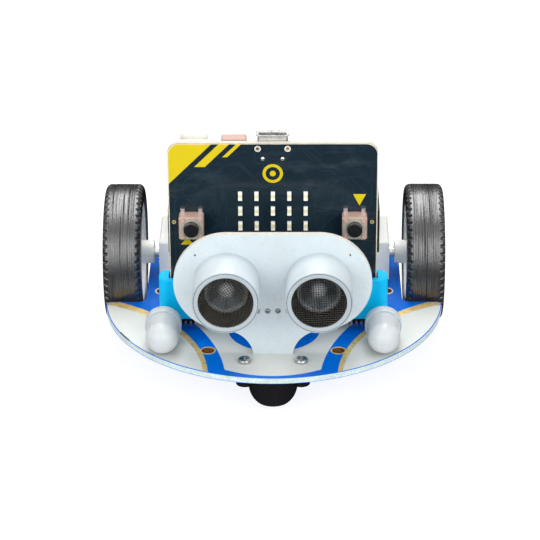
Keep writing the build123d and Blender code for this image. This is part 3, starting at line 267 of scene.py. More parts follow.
def cell_jacket():
    """Shrink-wrapped cells: a pale jacket with a dark band near one end and bare ends."""
    paint = Paint("cell_silver")
    low, high = box_mm("battery_cells")
    x = paint.maths("ABSOLUTE", paint.axes()[0])
    bare_end = paint.spread(x, (high.x - 2.0) * MM, (high.x - 1.9) * MM)
    band = paint.spread(x, (high.x - 9.0) * MM, (high.x - 8.9) * MM)
    tint = paint.mix(band, (0.34, 0.35, 0.365), (0.035, 0.04, 0.05))
    tint = paint.mix(bare_end, tint, (0.5, 0.5, 0.48))
    wrinkles = paint.noise(1.2, 4.0, stretch=(0.15, 1, 1))
    return paint.finish(tint, 0.28, vary=0.05, relief=wrinkles, relief_depth=0.01, Metallic=0.75,
                        worn=(0.8, 0.8, 0.8))


def make_materials():
    """One finish for each of the record's material slots."""
    board_faces = (BOARD_BOTTOM, BOARD_TOP)
    card_faces = (CARD_FRONT, CARD_BACK)
    sonar_faces = (SONAR_FRONT, SONAR_BACK)
    return {
        "board_blue": circuit_board("board_blue", (0.0, 0.115, 0.56), (0.5, 0.6, 0.59), 2, 0.2,
                                    board_faces, cloth_tint=0.08, Specular_IOR_Level=0.2),
        # The dark card carries a painted sheen: faint lighter patches in its colour in place of reflected
        # light.
        "card_dark": circuit_board("card_dark", (0.006, 0.0155, 0.024), (0.6, 0.58, 0.5), 1, 0.14,
                                   card_faces, painted_sheen=(0.032, 0.046, 0.058)),
        "board_white": circuit_board("board_white", (0.49, 0.555, 0.58), (0.62, 0.57, 0.5), 1, 0.3,
                                     sonar_faces, cloth_tint=0.05, vary=0.03, Coat_Weight=0.2,
                                     Coat_Roughness=0.18),
        "cyan_plastic": plastic("cyan_plastic", (0.0, 0.42, 0.76), 0.36, (0.08, 0.6, 0.95), vary=0.05,
                                Specular_IOR_Level=0.12),
        "black_plastic": plastic("black_plastic", (0.006, 0.006, 0.007), 0.22, (0.03, 0.03, 0.03)),
        "white_plastic": plastic("white_plastic", (0.9, 0.91, 0.87), 0.42, (0.94, 0.94, 0.92), vary=0.035,
                                 edge=0.25, Subsurface_Weight=0.12, Subsurface_Scale=1.0 * MM),
        "switch_pink": plastic("switch_pink", (0.46, 0.3, 0.255), 0.4, (0.72, 0.55, 0.48)),
        "chip_black": plastic("chip_black", (0.018, 0.018, 0.02), 0.5, (0.06, 0.06, 0.06)),
        "holder_black": plastic("holder_black", (0.009, 0.009, 0.01), 0.3, (0.06, 0.06, 0.06), edge=0.3),
        "ball_black": plastic("ball_black", (0.007, 0.007, 0.008), 0.2, (0.04, 0.04, 0.04), edge=0),
        "gold_metal": metal("gold_metal", (0.78, 0.55, 0.2), 0.32, (0.3, 0.2, 0.09)),
        "steel": metal("steel", (0.8, 0.8, 0.79), 0.3, (0.55, 0.54, 0.52), stretch=(0.1, 1, 1),
                       Metallic=0.8, edge=0.05, relief_depth=0.0012, grain_depth=0.001),
        "solder_metal": metal("solder_metal", (0.82, 0.82, 0.8), 0.3, (0.5, 0.5, 0.48)),
        "switch_plate": metal("switch_plate", (0.62, 0.56, 0.46), 0.38, (0.45, 0.38, 0.3), Metallic=0.55),
        "can_aluminium": can_metal(),
        "mesh_metal": metal("mesh_metal", (0.15, 0.142, 0.12), 0.16, (0.02, 0.02, 0.019), edge=0, worn=None),
        "frosted_white": frosted("frosted_white", (0.47, 0.5, 0.51)),
        "light_white": display_light(),
        "tyre_rubber": tyre_rubber(),
        "cell_silver": cell_jacket(),
    }


def cone_painted_highlights():
    """Blue-grey sounding cones with a painted highlight in the middle and a fainter painted highlight along
    the rim.
    """
    paint = Paint("cone_painted_highlights")
    low, high = box_mm("sonar_cones")
    radius = (high.z - low.z) / 2
    x, _, z = paint.axes()
    aside = paint.maths("SUBTRACT", paint.maths("ABSOLUTE", x), (high.x - radius) * MM)
    rise = paint.maths("SUBTRACT", z, (high.z + low.z) / 2 * MM)
    rise_squared = paint.maths("MULTIPLY", rise, rise)
    reach = paint.maths("SQRT", paint.maths("MULTIPLY_ADD", aside, aside, rise_squared))
    # Painted highlights: a bright spot in the middle of each cone and a fainter band along its rim.
    centre = paint.spread(reach, 0.7 * MM, 2.2 * MM, 1.0, 0.0)
    rim = paint.spread(reach, (radius - 1.3) * MM, (radius - 0.5) * MM)
    tint = paint.mix(paint.maths("MAXIMUM", centre, paint.maths("MULTIPLY", rim, 0.3)),
                     (0.022, 0.04, 0.055), (0.75, 0.8, 0.84))
    return paint.finish(tint, 0.3, vary=0.12, blotch=1.5, Metallic=0.3)


materials = make_materials()
for node_name, node in frame["nodes"].items():
    node.data.materials.clear()
    node.data.materials.append(materials[SLOTS[node_name]])
own_paints = {
    "sonar_cones": cone_painted_highlights(),
    "caster_screws": metal("screw_steel", (0.5, 0.5, 0.49), 0.24, (0.3, 0.29, 0.27), edge=0.04),
    "battery_socket": plastic("socket_white", (0.78, 0.77, 0.71), 0.4, (0.8, 0.8, 0.76), vary=0.04),
}
for node_name, own_paint in own_paints.items():
    slots = frame["nodes"][node_name].data.materials
    slots.clear()
    slots.append(own_paint)

ink_yellow = Paint("ink_yellow").finish((0.53, 0.41, 0.0), 0.34, vary=0.03, grain_depth=0.003, edge=0,
                                        Specular_IOR_Level=0.3)
ink_white = Paint("ink_white").finish((0.55, 0.57, 0.545), 0.34, vary=0.03, blotch=8.0, grain_depth=0.003,
                                      edge=0, Specular_IOR_Level=0.3)
gilded = metal("gilded", (0.68, 0.5, 0.2), 0.42, (0.36, 0.26, 0.11), stretch=(1, 0.2, 1), Metallic=0.35,
               vary=0.2, blotch=1.5)
tinned = metal("tinned", (0.78, 0.77, 0.72), 0.36, (0.6, 0.56, 0.46), Metallic=0.4)
copper_bore = metal("copper_bore", (0.62, 0.33, 0.14), 0.2, (0.3, 0.14, 0.06), Metallic=0.9)
liner_black = plastic("liner_black", (0.004, 0.004, 0.004), 0.6, (0.03, 0.03, 0.03), edge=0)
# A pale blue painted reflection of the blue board, for the bead at the front of each lamp's flange.
painted_blue_reflection = plastic("painted_blue_reflection", (0.3, 0.47, 0.66), 0.3, (0.5, 0.6, 0.7), edge=0)
rim_tan = Paint("rim_tan").finish((0.62, 0.56, 0.44), 0.5, vary=0.15, blotch=1.5, edge=0)
# A dark blue-grey painted shade. It fills the groove round the cans' lips and rings the header pins.
painted_shade_blue = plastic("painted_shade_blue", (0.05, 0.075, 0.11), 0.4, (0.1, 0.12, 0.16), edge=0)
track_blue = Paint("track_blue").finish((0.0, 0.17, 0.66), 0.2, vary=0.08, edge=0, Specular_IOR_Level=0.3)
track_dark = Paint("track_dark").finish((0.012, 0.026, 0.037), 0.14, vary=0.15, edge=0)
track_white = Paint("track_white").finish((0.68, 0.74, 0.76), 0.3, vary=0.04, edge=0, Coat_Weight=0.2)


# Mesh tools


def keep(name, mesh, body, paint, sharp=35.0):
    """Make a piece of a mesh that is in place, shade it smooth up to sharp degrees, and let it ride."""
    work = bmesh.new()
    work.from_mesh(mesh)
    bmesh.ops.remove_doubles(work, verts=work.verts, dist=1e-7)
    bmesh.ops.recalc_face_normals(work, faces=work.faces)
    for corner in work.edges:
        if len(corner.link_faces) == 2:
            corner.smooth = corner.calc_face_angle() < math.radians(sharp)
    for face in work.faces:
        face.smooth = True
    work.to_mesh(mesh)
    work.free()
    mesh.materials.clear()
    mesh.materials.append(paint)
    piece = bpy.data.objects.new(name, mesh)
    bpy.context.scene.collection.objects.link(piece)
    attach(piece, body)
    return piece


def turned(name, profile, centre, axis, steps, body, paint, shape=None, closed=True, sharp=35.0):
    """A body of revolution. profile is (along the axis, radius) pairs; shape may change the points."""
    along, radius = np.array(profile, float).T
    angle = np.linspace(0, 2 * math.pi, steps, endpoint=False)
    along, turn = np.meshgrid(along, angle)
    radius = np.broadcast_to(radius, along.shape)
    if shape is not None:
        radius = shape(along, radius, turn)
    sides = (radius * np.cos(turn), radius * np.sin(turn))
    if axis == "X":
        points = (along, centre[1] + sides[0], centre[2] + sides[1])
    elif axis == "Y":
        points = (centre[0] + sides[0], along, centre[2] + sides[1])
    else:
        points = (centre[0] + sides[0], centre[1] + sides[1], along)
    points = np.stack(points, axis=-1).reshape(-1, 3) * MM
    rings = len(profile)
    i, j = np.meshgrid(np.arange(steps), np.arange(rings if closed else rings - 1), indexing="ij")
    i, j = i.ravel(), j.ravel()
    next_i, next_j = (i + 1) % steps, (j + 1) % rings
    corners = [i * rings + j, next_i * rings + j, next_i * rings + next_j, i * rings + next_j]
    faces = np.stack(corners, axis=1)
    mesh = bpy.data.meshes.new(name)
    mesh.from_pydata(points.tolist(), [], faces.tolist())
    return keep(name, mesh, body, paint, sharp)


def flat_curve(name, loops, cyclic, **settings):
    """A curve of straight runs in millimetres, turned into a mesh."""
    curve = bpy.data.curves.new(name, "CURVE")
    for key, value in settings.items():
        setattr(curve, key, value)
    for loop in loops:
        spline = curve.splines.new("POLY")
        spline.points.add(len(loop) - 1)
        for point, (a, b) in zip(spline.points, loop):
            point.co = (a, b, 0, 1)
        spline.use_cyclic_u = cyclic
    made = bpy.data.objects.new(name, curve)
    mesh = bpy.data.meshes.new_from_object(made)
    bpy.data.objects.remove(made)
    return mesh


def stand(mesh, facing, level):
    """Put a flat mesh in millimetres on a surface: facing up, down, front or back, at that level."""
    turns = {"up": Matrix.Identity(4), "down": Matrix.Rotation(math.pi, 4, "Y"),
             "front": Matrix.Rotation(math.pi / 2, 4, "X"),
             "back": Matrix.Rotation(math.pi / 2, 4, "X") @ Matrix.Rotation(math.pi, 4, "Y")}
    shift = Vector((0, 0, level)) if facing in ("up", "down") else Vector((0, level, 0))
    mesh.transform(Matrix.Scale(MM, 4) @ Matrix.Translation(shift) @ turns[facing])
    return mesh


def printed(name, loops, facing, level, paint, thick=PRINT_THICK, body="chassis"):
    """A thin printed or plated layer on a surface. Loops inside loops are holes."""
    mesh = flat_curve(name, loops, True, dimensions="2D", fill_mode="BOTH", extrude=thick / 2)
    mesh.transform(Matrix.Translation((0, 0, thick / 2 - PRINT_SINK)))
    return keep(name, stand(mesh, facing, level), body, paint)


def ring(x, y, radius, steps=32):
    turn = [2 * math.pi * i / steps for i in range(steps)]
    return [(x + radius * math.cos(a), y + radius * math.sin(a)) for a in turn]


def bow(start, through, end, steps=16):
    """Points on the circle arc from start to end through a third point."""
    (ax, ay), (bx, by), (cx, cy) = start, through, end
    d = 2 * (ax * (by - cy) + bx * (cy - ay) + cx * (ay - by))
    a2, b2, c2 = ax * ax + ay * ay, bx * bx + by * by, cx * cx + cy * cy
    ox = (a2 * (by - cy) + b2 * (cy - ay) + c2 * (ay - by)) / d
    oy = (a2 * (cx - bx) + b2 * (ax - cx) + c2 * (bx - ax)) / d
    radius = math.hypot(ax - ox, ay - oy)
    first, middle, last = [math.atan2(y - oy, x - ox) for x, y in (start, through, end)]
    sweep = (last - first) % (2 * math.pi)
    if (middle - first) % (2 * math.pi) > sweep:
        sweep -= 2 * math.pi
    turn = [first + sweep * i / steps for i in range(steps + 1)]
    return [(ox + radius * math.cos(a), oy + radius * math.sin(a)) for a in turn]


def mirrored(loops):
    return [[(-x, y) for x, y in loop] for loop in loops]


# Printed colours on the main board

STRIP_REAR = ((-61.35, -42.8), 45.6)
STRIP_FRONT = ((-59.67, -43.29), 42.75)
CENTRE_EDGE = [(-20.6, -13.6), (-15.86, -23.0), (-11.9, -37.8)]
CENTRE_CORNER = [(-11.8, -38.6), (-11.45, -39.05), (-10.8, -39.3)]
CENTRE_BOTTOM = [(-10.8, -39.3), (0.0, -42.05), (10.8, -39.3)]
NECK_DISC = (0.15, -18.0, 11.5)
PRINT_RIM = BOARD_RADIUS - 0.2
TIP_LIMIT_Y = -2.7
WING_LIMIT_Y = -4.5
TIP_CENTRE, TIP_ROUND = (-41.84, -3.7), 0.95
HOLE_RADIUS, LAND_RADIUS = 1.6, 1.97
FRONT_HOLES = [(-16.15, -29.03), (16.15, -29.03)]
REAR_HOLES = [(-28.95, 3.64), (28.95, 3.64)]


def crossing(circle, radius):
    """Where a circle meets the round board of that radius, upper and lower point."""
    (x, y), r = circle
    distance = math.hypot(x, y)
    along = (radius ** 2 - r ** 2 + distance ** 2) / (2 * distance)
    aside = math.sqrt(radius ** 2 - along ** 2)
    ux, uy = x / distance, y / distance
    points = [(along * ux - s * aside * uy, along * uy + s * aside * ux) for s in (-1, 1)]
    return sorted(points, key=lambda p: -p[1])


def along_circle(circle, start, end, steps=40):
    """Points on a circle from start to end, the short way round."""
    (x, y), r = circle
    first, last = [math.atan2(p[1] - y, p[0] - x) for p in (start, end)]
    sweep = (last - first + math.pi) % (2 * math.pi) - math.pi
    turn = [first + sweep * i / steps for i in range(steps + 1)]
    return [(x + r * math.cos(a), y + r * math.sin(a)) for a in turn]


def within_tip(loop, limit):
    """Keep a loop behind the notch and inside the rounded tip of the board's wing."""
    kept = []
    for x, y in loop:
        y = min(y, limit)
        dx, dy = x - TIP_CENTRE[0], y - TIP_CENTRE[1]
        far = math.hypot(dx, dy)
        if dx < 0 < dy and far > TIP_ROUND:
            x, y = TIP_CENTRE[0] + dx * TIP_ROUND / far, TIP_CENTRE[1] + dy * TIP_ROUND / far
        kept.append((x, y))
    return kept


def board_prints():
    rim = ((0.0, 0.0), PRINT_RIM)
    top, bottom = crossing(STRIP_FRONT, PRINT_RIM)
    upper, lower = crossing(STRIP_REAR, PRINT_RIM)
    wing = along_circle(STRIP_FRONT, top, bottom) + along_circle(rim, bottom, top)[1:-1]
    strip = along_circle(STRIP_REAR, upper, lower) + along_circle(rim, lower, bottom, 6)[1:]
    strip += along_circle(STRIP_FRONT, bottom, top) + along_circle(rim, top, upper, 12)[1:-1]
    wing, strip = within_tip(wing, WING_LIMIT_Y), within_tip(strip, TIP_LIMIT_Y)
    level = BOARD_TOP
    for side, name in SIDES:
        for kind, loop, paint, slot, thick in (("wing_print_", wing, ink_white, "board_white", PRINT_THICK),
                                               ("wing_strip_", strip, gilded, "gold_metal", 0.03)):
            loops = [loop] if side < 0 else mirrored([loop])
            printed(kind + name, loops, "up", level, paint, thick=thick)
    left = bow(*CENTRE_EDGE, steps=20) + CENTRE_CORNER[:-1]
    bottom_edge = bow(*CENTRE_BOTTOM, steps=30)
    right = [(-x, y) for x, y in reversed(left)]
    disc = ring(*NECK_DISC, steps=72)
    printed("centre_print", [left + bottom_edge + right, disc], "up", level, ink_white)
    mark = [math.radians(a) for a in (-153.3, -151.0, -148.8, -146.6)]
    outer, inner = BOARD_RADIUS - 0.02, BOARD_RADIUS - 0.34
    rim_mark = [(outer * math.cos(a), outer * math.sin(a)) for a in mark]
    rim_mark += [(inner * math.cos(a), inner * math.sin(a)) for a in reversed(mark)]
    printed("rim_mark", [rim_mark], "up", level, liner_black, thick=0.06)
    for place, holes, paint, slot in (("front", FRONT_HOLES, gilded, "gold_metal"),
                                      ("rear", REAR_HOLES, tinned, "solder_metal")):
        plates = [ring(x, y, r, 48) for x, y in holes for r in (LAND_RADIUS, HOLE_RADIUS)]
        for face, loops, facing, height in (("top", plates, "up", level),
                                            ("bottom", mirrored(plates), "down", BOARD_BOTTOM)):
            printed(f"hole_plating_{place}_{face}", loops, facing, height, paint, thick=0.06)
    wall = [(BOARD_BOTTOM, HOLE_RADIUS), (BOARD_TOP, HOLE_RADIUS), (BOARD_TOP, HOLE_RADIUS - 0.05),
            (BOARD_BOTTOM, HOLE_RADIUS - 0.05)]
    for number, (x, y) in enumerate(FRONT_HOLES + REAR_HOLES):
        turned(f"hole_barrel_{number}", wall, (x, y, 0), "Z", 48, "chassis", copper_bore)


# Tracks under the lacquer


def routes(allowed, count, pitch, seed, reach):
    """Tracks that wander over a grid in straight and 45 degree runs without meeting."""
    draw = random.Random(seed)
    ways = [(1, 0), (1, 1), (0, 1), (-1, 1), (-1, 0), (-1, -1), (0, -1), (1, -1)]
    taken, found = set(), []
    for _ in range(count * 12):
        if len(found) == count:
            break
        cell = (draw.randint(-reach, reach), draw.randint(-reach, reach))
        way = draw.randrange(8)
        path = []
        for _ in range(draw.randint(3, 7)):
            for _ in range(draw.randint(3, 14)):
                step = ways[way]
                ahead = (cell[0] + step[0], cell[1] + step[1])
                beside = {(cell[0] + step[0], cell[1]), (cell[0], cell[1] + step[1])}
                blocked = ahead in taken or not allowed(ahead[0] * pitch, ahead[1] * pitch)
                if blocked or (step[0] and step[1] and beside <= taken):
                    break
                if not path:
                    path = [cell]
                    taken.add(cell)
                cell = ahead
                taken.add(cell)
                path.append(cell)
            way = (way + draw.choice((-1, 1))) % 8
        if len(path) > 6 and allowed(path[0][0] * pitch, path[0][1] * pitch):
            found.append([(a * pitch, b * pitch) for a, b in path])
    return found


def corners_only(path):
    """The points of a path where it changes direction, and its two ends."""
    kept = [path[0]]
    for before, here, after in zip(path, path[1:], path[2:]):
        if (round(here[0] - before[0], 6), round(here[1] - before[1], 6)) != \
                (round(after[0] - here[0], 6), round(after[1] - here[1], 6)):
            kept.append(here)
    return kept + [path[-1]]


def tracks(name, paths, facing, level, paint, offset=(0, 0), width=0.24):
    """Flattened copper runs with a small pad at each end, all under one lacquer."""
    mirror_x = -1 if facing in ("back", "down") else 1
    moved = [[(mirror_x * (a + offset[0]), b + offset[1]) for a, b in corners_only(path)] for path in paths]
    round_wire = {"dimensions": "3D", "bevel_resolution": 1, "use_fill_caps": True}
    lines = flat_curve(name, moved, False, bevel_depth=width / 2, **round_wire)
    ends = [[(x, y - width / 2), (x, y + width / 2)] for path in moved for x, y in (path[0], path[-1])]
    pads = flat_curve(name, ends, False, bevel_depth=width, **round_wire)
    work = bmesh.new()
    work.from_mesh(lines)
    work.from_mesh(pads)
    work.to_mesh(lines)
    work.free()
    lines.transform(Matrix.Diagonal((1, 1, 0.09, 1)))
    keep(name, stand(lines, facing, level), "chassis", paint, sharp=60.0)


def all_tracks():
    def on_board(x, y):
        clear_of_holes = all(math.hypot(x - hx, y - hy) > 2.6 for hx, hy in FRONT_HOLES + REAR_HOLES)
        inside = math.hypot(x, y) < BOARD_RADIUS - 1.5 and (abs(x) < 31.5 or y < -4)
        return inside and clear_of_holes and y > -33

    def on_card(x, z):
        middle = CARD_TOP - 19
        return abs(x) < CARD_HALF - 1.2 and abs(z) < 19 and not (abs(x) < 10 and -14 < z + middle - 39 < 10)

    def on_card_back(x, z):
        return abs(x) < CARD_HALF - 1.2 and abs(z) < 18

    def on_sonar(x, z):
        return math.hypot(abs(x) - 11.2, z) < 12 or (abs(x) < 11 and abs(z) < 12)

    pitch = 0.55
    top = routes(on_board, 130, pitch, 5, 76)
    tracks("board_tracks_top", top, "up", BOARD_TOP, track_blue)
    under = routes(on_board, 110, pitch, 8, 76)
    tracks("board_tracks_bottom", under, "down", BOARD_BOTTOM, track_blue)
    front = routes(on_card, 70, pitch, 21, 46)
    middle_z = CARD_TOP - 20
    tracks("card_tracks_front", front, "front", CARD_FRONT, track_dark, (0, middle_z), 0.2)
    back = routes(on_card_back, 80, pitch, 34, 46)
    tracks("card_tracks_back", back, "back", CARD_BACK, track_dark, (0, middle_z), 0.2)
    rear = routes(on_sonar, 46, pitch, 13, 44)
    tracks("sonar_tracks_back", rear, "back", SONAR_BACK, track_white, (0, 31.4), 0.22)


# Printed colours on the control card and on the sensor

EYELET_X, EYELET_Z = 3.65, CARD_TOP - 1.5
CARD_VIA_X, CARD_VIA_Z = 24.46, 40.75
SONAR_VIA_X, SONAR_VIA_Z = 18.8, 39.0
SONAR_PINS, PIN_PITCH, SONAR_PIN_Z = 4, 2.54, 23.8


def rounded(x, z, radius, inset, steps=8):
    """A rounded rectangle between two values of x and of z, drawn in by inset."""
    loop = []
    for corner, (sx, sz) in enumerate(((1, 1), (-1, 1), (-1, -1), (1, -1))):
        cx = (x[1] if sx > 0 else x[0]) - sx * radius
        cz = (z[1] if sz > 0 else z[0]) - sz * radius
        for i in range(steps + 1):
            a = math.pi / 2 * (corner + i / steps)
            loop.append((cx + (radius - inset) * math.cos(a), cz + (radius - inset) * math.sin(a)))
    return loop


def card_prints():
    left, top = -CARD_HALF + 0.08, CARD_TOP - 0.08
    corner, leg = 2.9, 10.9
    bend = bow((left, top - corner), (left + corner * 0.293, top - corner * 0.293), (left + corner, top), 10)
    loops = [bend + [(left + leg, top), (left, top - leg)]]
    for start, end, low in ((12.7, 15.3, 6.2), (17.0, 18.2, 3.6)):
        loops.append([(left + start, top), (left + end, top), (left + end - low, top - low),
                      (left + start - low, top - low)])
    printed("corner_print", loops, "front", CARD_FRONT, ink_yellow)
    outline = ((-CARD_HALF, CARD_HALF), (card_low.z, CARD_TOP), 3.0)
    rim = [rounded(*outline, 0.03), rounded(*outline, 0.25)]
    printed("card_rim", rim, "front", CARD_FRONT, rim_tan, thick=0.045)
    pad_z = CARD_TOP - 8.05
    pad = [ring(0, pad_z, 2.5, 48), ring(0, pad_z, 1.75, 48), ring(0, pad_z, 0.75, 24)]
    printed("touch_pad_print", pad, "front", CARD_FRONT, ink_yellow)
    pointer, x = 1.6, 21.3
    b_mark = [(x - pointer, 48.3), (x + pointer, 48.3), (x, 45.2)]
    a_mark = [(-x - pointer, 34.6), (-x + pointer, 34.6), (-x, 36.6)]
    printed("button_marks", [a_mark, b_mark], "front", CARD_FRONT, ink_yellow)
    lands, small = [], []
    for side, name in SIDES:
        lands += [ring(side * EYELET_X, EYELET_Z, r, 32) for r in (0.8, 0.44)]
        small += [ring(side * CARD_VIA_X, CARD_VIA_Z, r, 24) for r in (0.52, 0.26)]
        barrel = [(CARD_FRONT, 0.5), (CARD_BACK, 0.5), (CARD_BACK, 0.3), (CARD_FRONT + 0.3, 0.3)]
        turned("card_eyelet_" + name, barrel, (side * EYELET_X, 0, EYELET_Z), "Y", 32, "chassis", gilded)
    printed("card_lands", lands, "front", CARD_FRONT, tinned, thick=0.05)
    printed("card_vias", small, "front", CARD_FRONT, gilded, thick=0.05)
    for side, name in SIDES:
        solder_dome("card_solder_" + name, (side * 2.43, CARD_FRONT, CARD_TOP - 4.18), 0.55, 0.3)


def sonar_prints():
    """Lands round the vias with a painted shade in each via's hole, and painted shade rings round the header
    pins, on the front of the sensor's board.
    """
    for side, name in SIDES:
        land = [ring(side * SONAR_VIA_X, SONAR_VIA_Z, r, 24) for r in (0.42, 0.22)]
        # A black disc where the via's hole is: painted shade in place of a cut hole.
        hole_shade = [ring(side * SONAR_VIA_X, SONAR_VIA_Z, 0.26, 24)]
        printed("sonar_via_" + name, land, "front", SONAR_FRONT, tinned, thick=0.04)
        printed("sonar_via_hole_shade_" + name, hole_shade, "front", SONAR_FRONT, liner_black,
                thick=0.03)
    places = [PIN_PITCH * (i - (SONAR_PINS - 1) / 2) for i in range(SONAR_PINS)]
    # Dark rings round the header pins are painted shade.
    pads = [ring(x, SONAR_PIN_Z, r, 24) for x in places for r in (0.7, 0.58)]
    printed("sonar_pin_land_shade", pads, "front", SONAR_FRONT, painted_shade_blue, thick=0.04)


def solder_dome(name, place, radius, height):
    x, y, z = place
    lift = [(y + 0.02, radius)]
    lift += [(y - height * math.sin(a), radius * math.cos(a)) for a in (0.0, 0.35, 0.7, 1.05, 1.35)]
    lift += [(y - height, 0.01), (y + 0.02, 0.01)]
    turned(name, lift, (x, y, z), "Y", 24, "chassis", materials["solder_metal"], sharp=60)


# Tyres


def waviness(draw, turn, order):
    """A smooth random value round the wheel, from about 0 to 1, that joins up after one turn."""
    total = np.zeros_like(turn)
    for k in range(1, order + 1):
        total += draw.uniform(0.3, 1.0) * np.sin(k * turn + draw.uniform(0, 2 * math.pi))
    return 0.5 + 0.5 * total / math.sqrt(order)


def tyre(name):
    low, high = box_mm("tyre_" + name)
    centre = (low + high) / 2
    radius = (high.z - low.z) / 2
    width = high.x - low.x
    half = width / 2
    shoulder, bead = 1.5, 13.4
    seat, lip = 14.02, 0.4
    notches, steps_per_notch = 54, 14
    draw = random.Random(11 if name == "left" else 12)
    grooves = []
    position = -half + 1.5
    while position < half - 1.4:
        grooves.append((position, draw.uniform(0.06, 0.26), draw.uniform(0.09, 0.17), draw.randint(3, 9)))
        position += draw.uniform(0.32, 0.75)

    def shape(along, rest, turn):
        x = along - centre.x
        tread = rest > radius - 1.2
        depth = np.zeros_like(x)
        for place, deep, wide, order in grooves:
            drift = place + 0.12 * (waviness(draw, turn, 4) - 0.5)
            strength = np.clip(waviness(draw, turn, order), 0.05, 1.0)
            depth += deep * strength * np.exp(-((x - drift) / wide) ** 2)
        depth = np.minimum(depth, 0.34)
        phase = (turn * notches / (2 * math.pi)) % 1.0
        cut = np.clip(1.6 - np.abs(phase - 0.5) * 8, 0, 1)
        inner_end = np.clip((np.abs(x) - (half - 1.35)) / 0.25, 0, 1)
        outer_end = np.clip((half - 0.1 - np.abs(x)) / 0.3, 0, 1)
        depth += 0.42 * cut * inner_end * outer_end
        return np.where(tread, rest - depth, rest)

    tread_points = 76
    profile = [(-half + lip, seat), (-half + lip, bead), (-half + 0.05, bead), (-half, bead + 0.15)]
    for r in (14.2, 14.5, 14.6, 15.1, 15.2, 15.9):
        profile.append((-half + (0.12 if r in (14.5, 14.6, 15.1) else 0.0), r))
    flank = [(-half + shoulder * (1 - math.cos(a)), radius - shoulder * (1 - math.sin(a)))
             for a in [math.radians(7.5 * i) for i in range(0, 12)]]
    profile += flank
    for i in range(tread_points):
        profile.append((-half + shoulder + (width - 2 * shoulder) * i / (tread_points - 1), radius))
    profile += [(-x, r) for x, r in reversed(profile[:4 + 6 + len(flank)])]
    profile = [(centre.x + x, r) for x, r in profile]
    piece = turned("tyre_tread_" + name, profile, centre, "X", notches * steps_per_notch, name + "_wheel",
                   materials["tyre_rubber"], shape, sharp=55)
    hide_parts("tyre_" + name)


# Ultrasonic eyes

LIP_RADIUS = 6.7


def eye_parts():
    wires = []
    for name, turn in (("right", 33.0), ("left", 3.0)):
        can_low, can_high = box_mm("sonar_can_" + name)
        centre = (can_low + can_high) / 2
        outer = (can_high.x - can_low.x) / 2
        front, back = can_low.y, can_high.y
        wall, roll, soft = 0.45, 0.2, 0.12
        line, line_half = outer - roll - 0.14, 0.07
        profile = [(back, outer)]
        profile += [(front + roll - roll * math.sin(a), outer - roll + roll * math.cos(a))
                    for a in [math.radians(15 * i) for i in range(7)]]
        profile += [(front + 0.02, line + line_half), (front + 0.12, line + line_half),
                    (front + 0.12, line - line_half), (front + 0.02, line - line_half)]
        profile += [(front + soft - soft * math.cos(a), LIP_RADIUS + soft - soft * math.sin(a))
                    for a in [math.radians(18 * i) for i in range(6)]]
        profile += [(front + 1.0, LIP_RADIUS), (front + 1.0, outer - wall), (back, outer - wall)]
        can = turned("sonar_barrel_" + name, profile, centre, "Y", 144, "chassis",
                     materials["can_aluminium"])
        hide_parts("sonar_can_" + name)
        # The groove in the lip is filled by a thin ring of painted shade.
        groove = [(front + 0.05, line + line_half), (front + 0.05, line - line_half),
                  (front + 0.12, line - line_half), (front + 0.12, line + line_half)]
        turned("sonar_lip_shade_line_" + name, groove, centre, "Y", 144, "chassis", painted_shade_blue)
        inside = LIP_RADIUS - 0.01
        sleeve = [(front + 0.42, inside), (back - 0.1, inside), (back - 0.1, 5.6), (back - 0.6, 5.6),
                  (back - 0.6, inside - 0.1), (front + 0.42, inside - 0.1)]
        turned("sonar_sleeve_" + name, sleeve, centre, "Y", 96, "chassis", liner_black)
        wires.append(woven(centre, LIP_RADIUS - 0.02, front + 0.3, math.radians(turn)))
    points = np.concatenate([p for p, _ in wires])
    offset = len(wires[0][0])
    faces = np.concatenate([wires[0][1], wires[1][1] + offset])
    mesh = bpy.data.meshes.new("sonar_wire_mesh")
    mesh.from_pydata(points.tolist(), [], faces.tolist())
    piece = keep("sonar_wire_mesh", mesh, "chassis", materials["mesh_metal"], sharp=80)
    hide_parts("sonar_meshes")


def woven(centre, radius, y, turn):
    """Plain-woven round wire cloth as vertices in metres and quads."""
    pitch, wire, sides = 0.58, 0.072, 6
    lift = 0.075
    count = int(radius / pitch)
    points, faces = [], []
    total = 0
    for direction in (0, 1):
        for k in range(-count, count + 1):
            place = k * pitch
            reach = math.sqrt(max(radius ** 2 - place ** 2, 0.0))
            if reach < pitch:
                continue
            spans = max(4, 2 * int(round(2 * reach / pitch)))
            s = np.linspace(-reach, reach, spans + 1)
            over = lift if (k + direction) % 2 else -lift
            wave = over * np.cos(math.pi * s / pitch)
            slope = -over * math.pi / pitch * np.sin(math.pi * s / pitch)
            tilt = np.arctan(slope)
            for i in range(sides):
                a = 2 * math.pi * i / sides
                out, aside = wire * math.cos(a), wire * math.sin(a)
                line = s - out * np.sin(tilt)
                rise = wave + out * np.cos(tilt)
                across = np.full_like(s, place + aside)
                u, v = (line, across) if direction == 0 else (across, line)
                x = u * math.cos(turn) - v * math.sin(turn)
                z = u * math.sin(turn) + v * math.cos(turn)
                points.append(np.stack([centre.x + x, y - rise, centre.z + z], axis=1))
            n = len(s)
            for i in range(sides):
                a, b = total + i * n, total + (i + 1) % sides * n
                steps = np.arange(n - 1)
                faces.append(np.stack([a + steps, a + steps + 1, b + steps + 1, b + steps], axis=1))
            total += sides * n
    return np.concatenate(points) * MM, np.concatenate(faces)


# Headlights


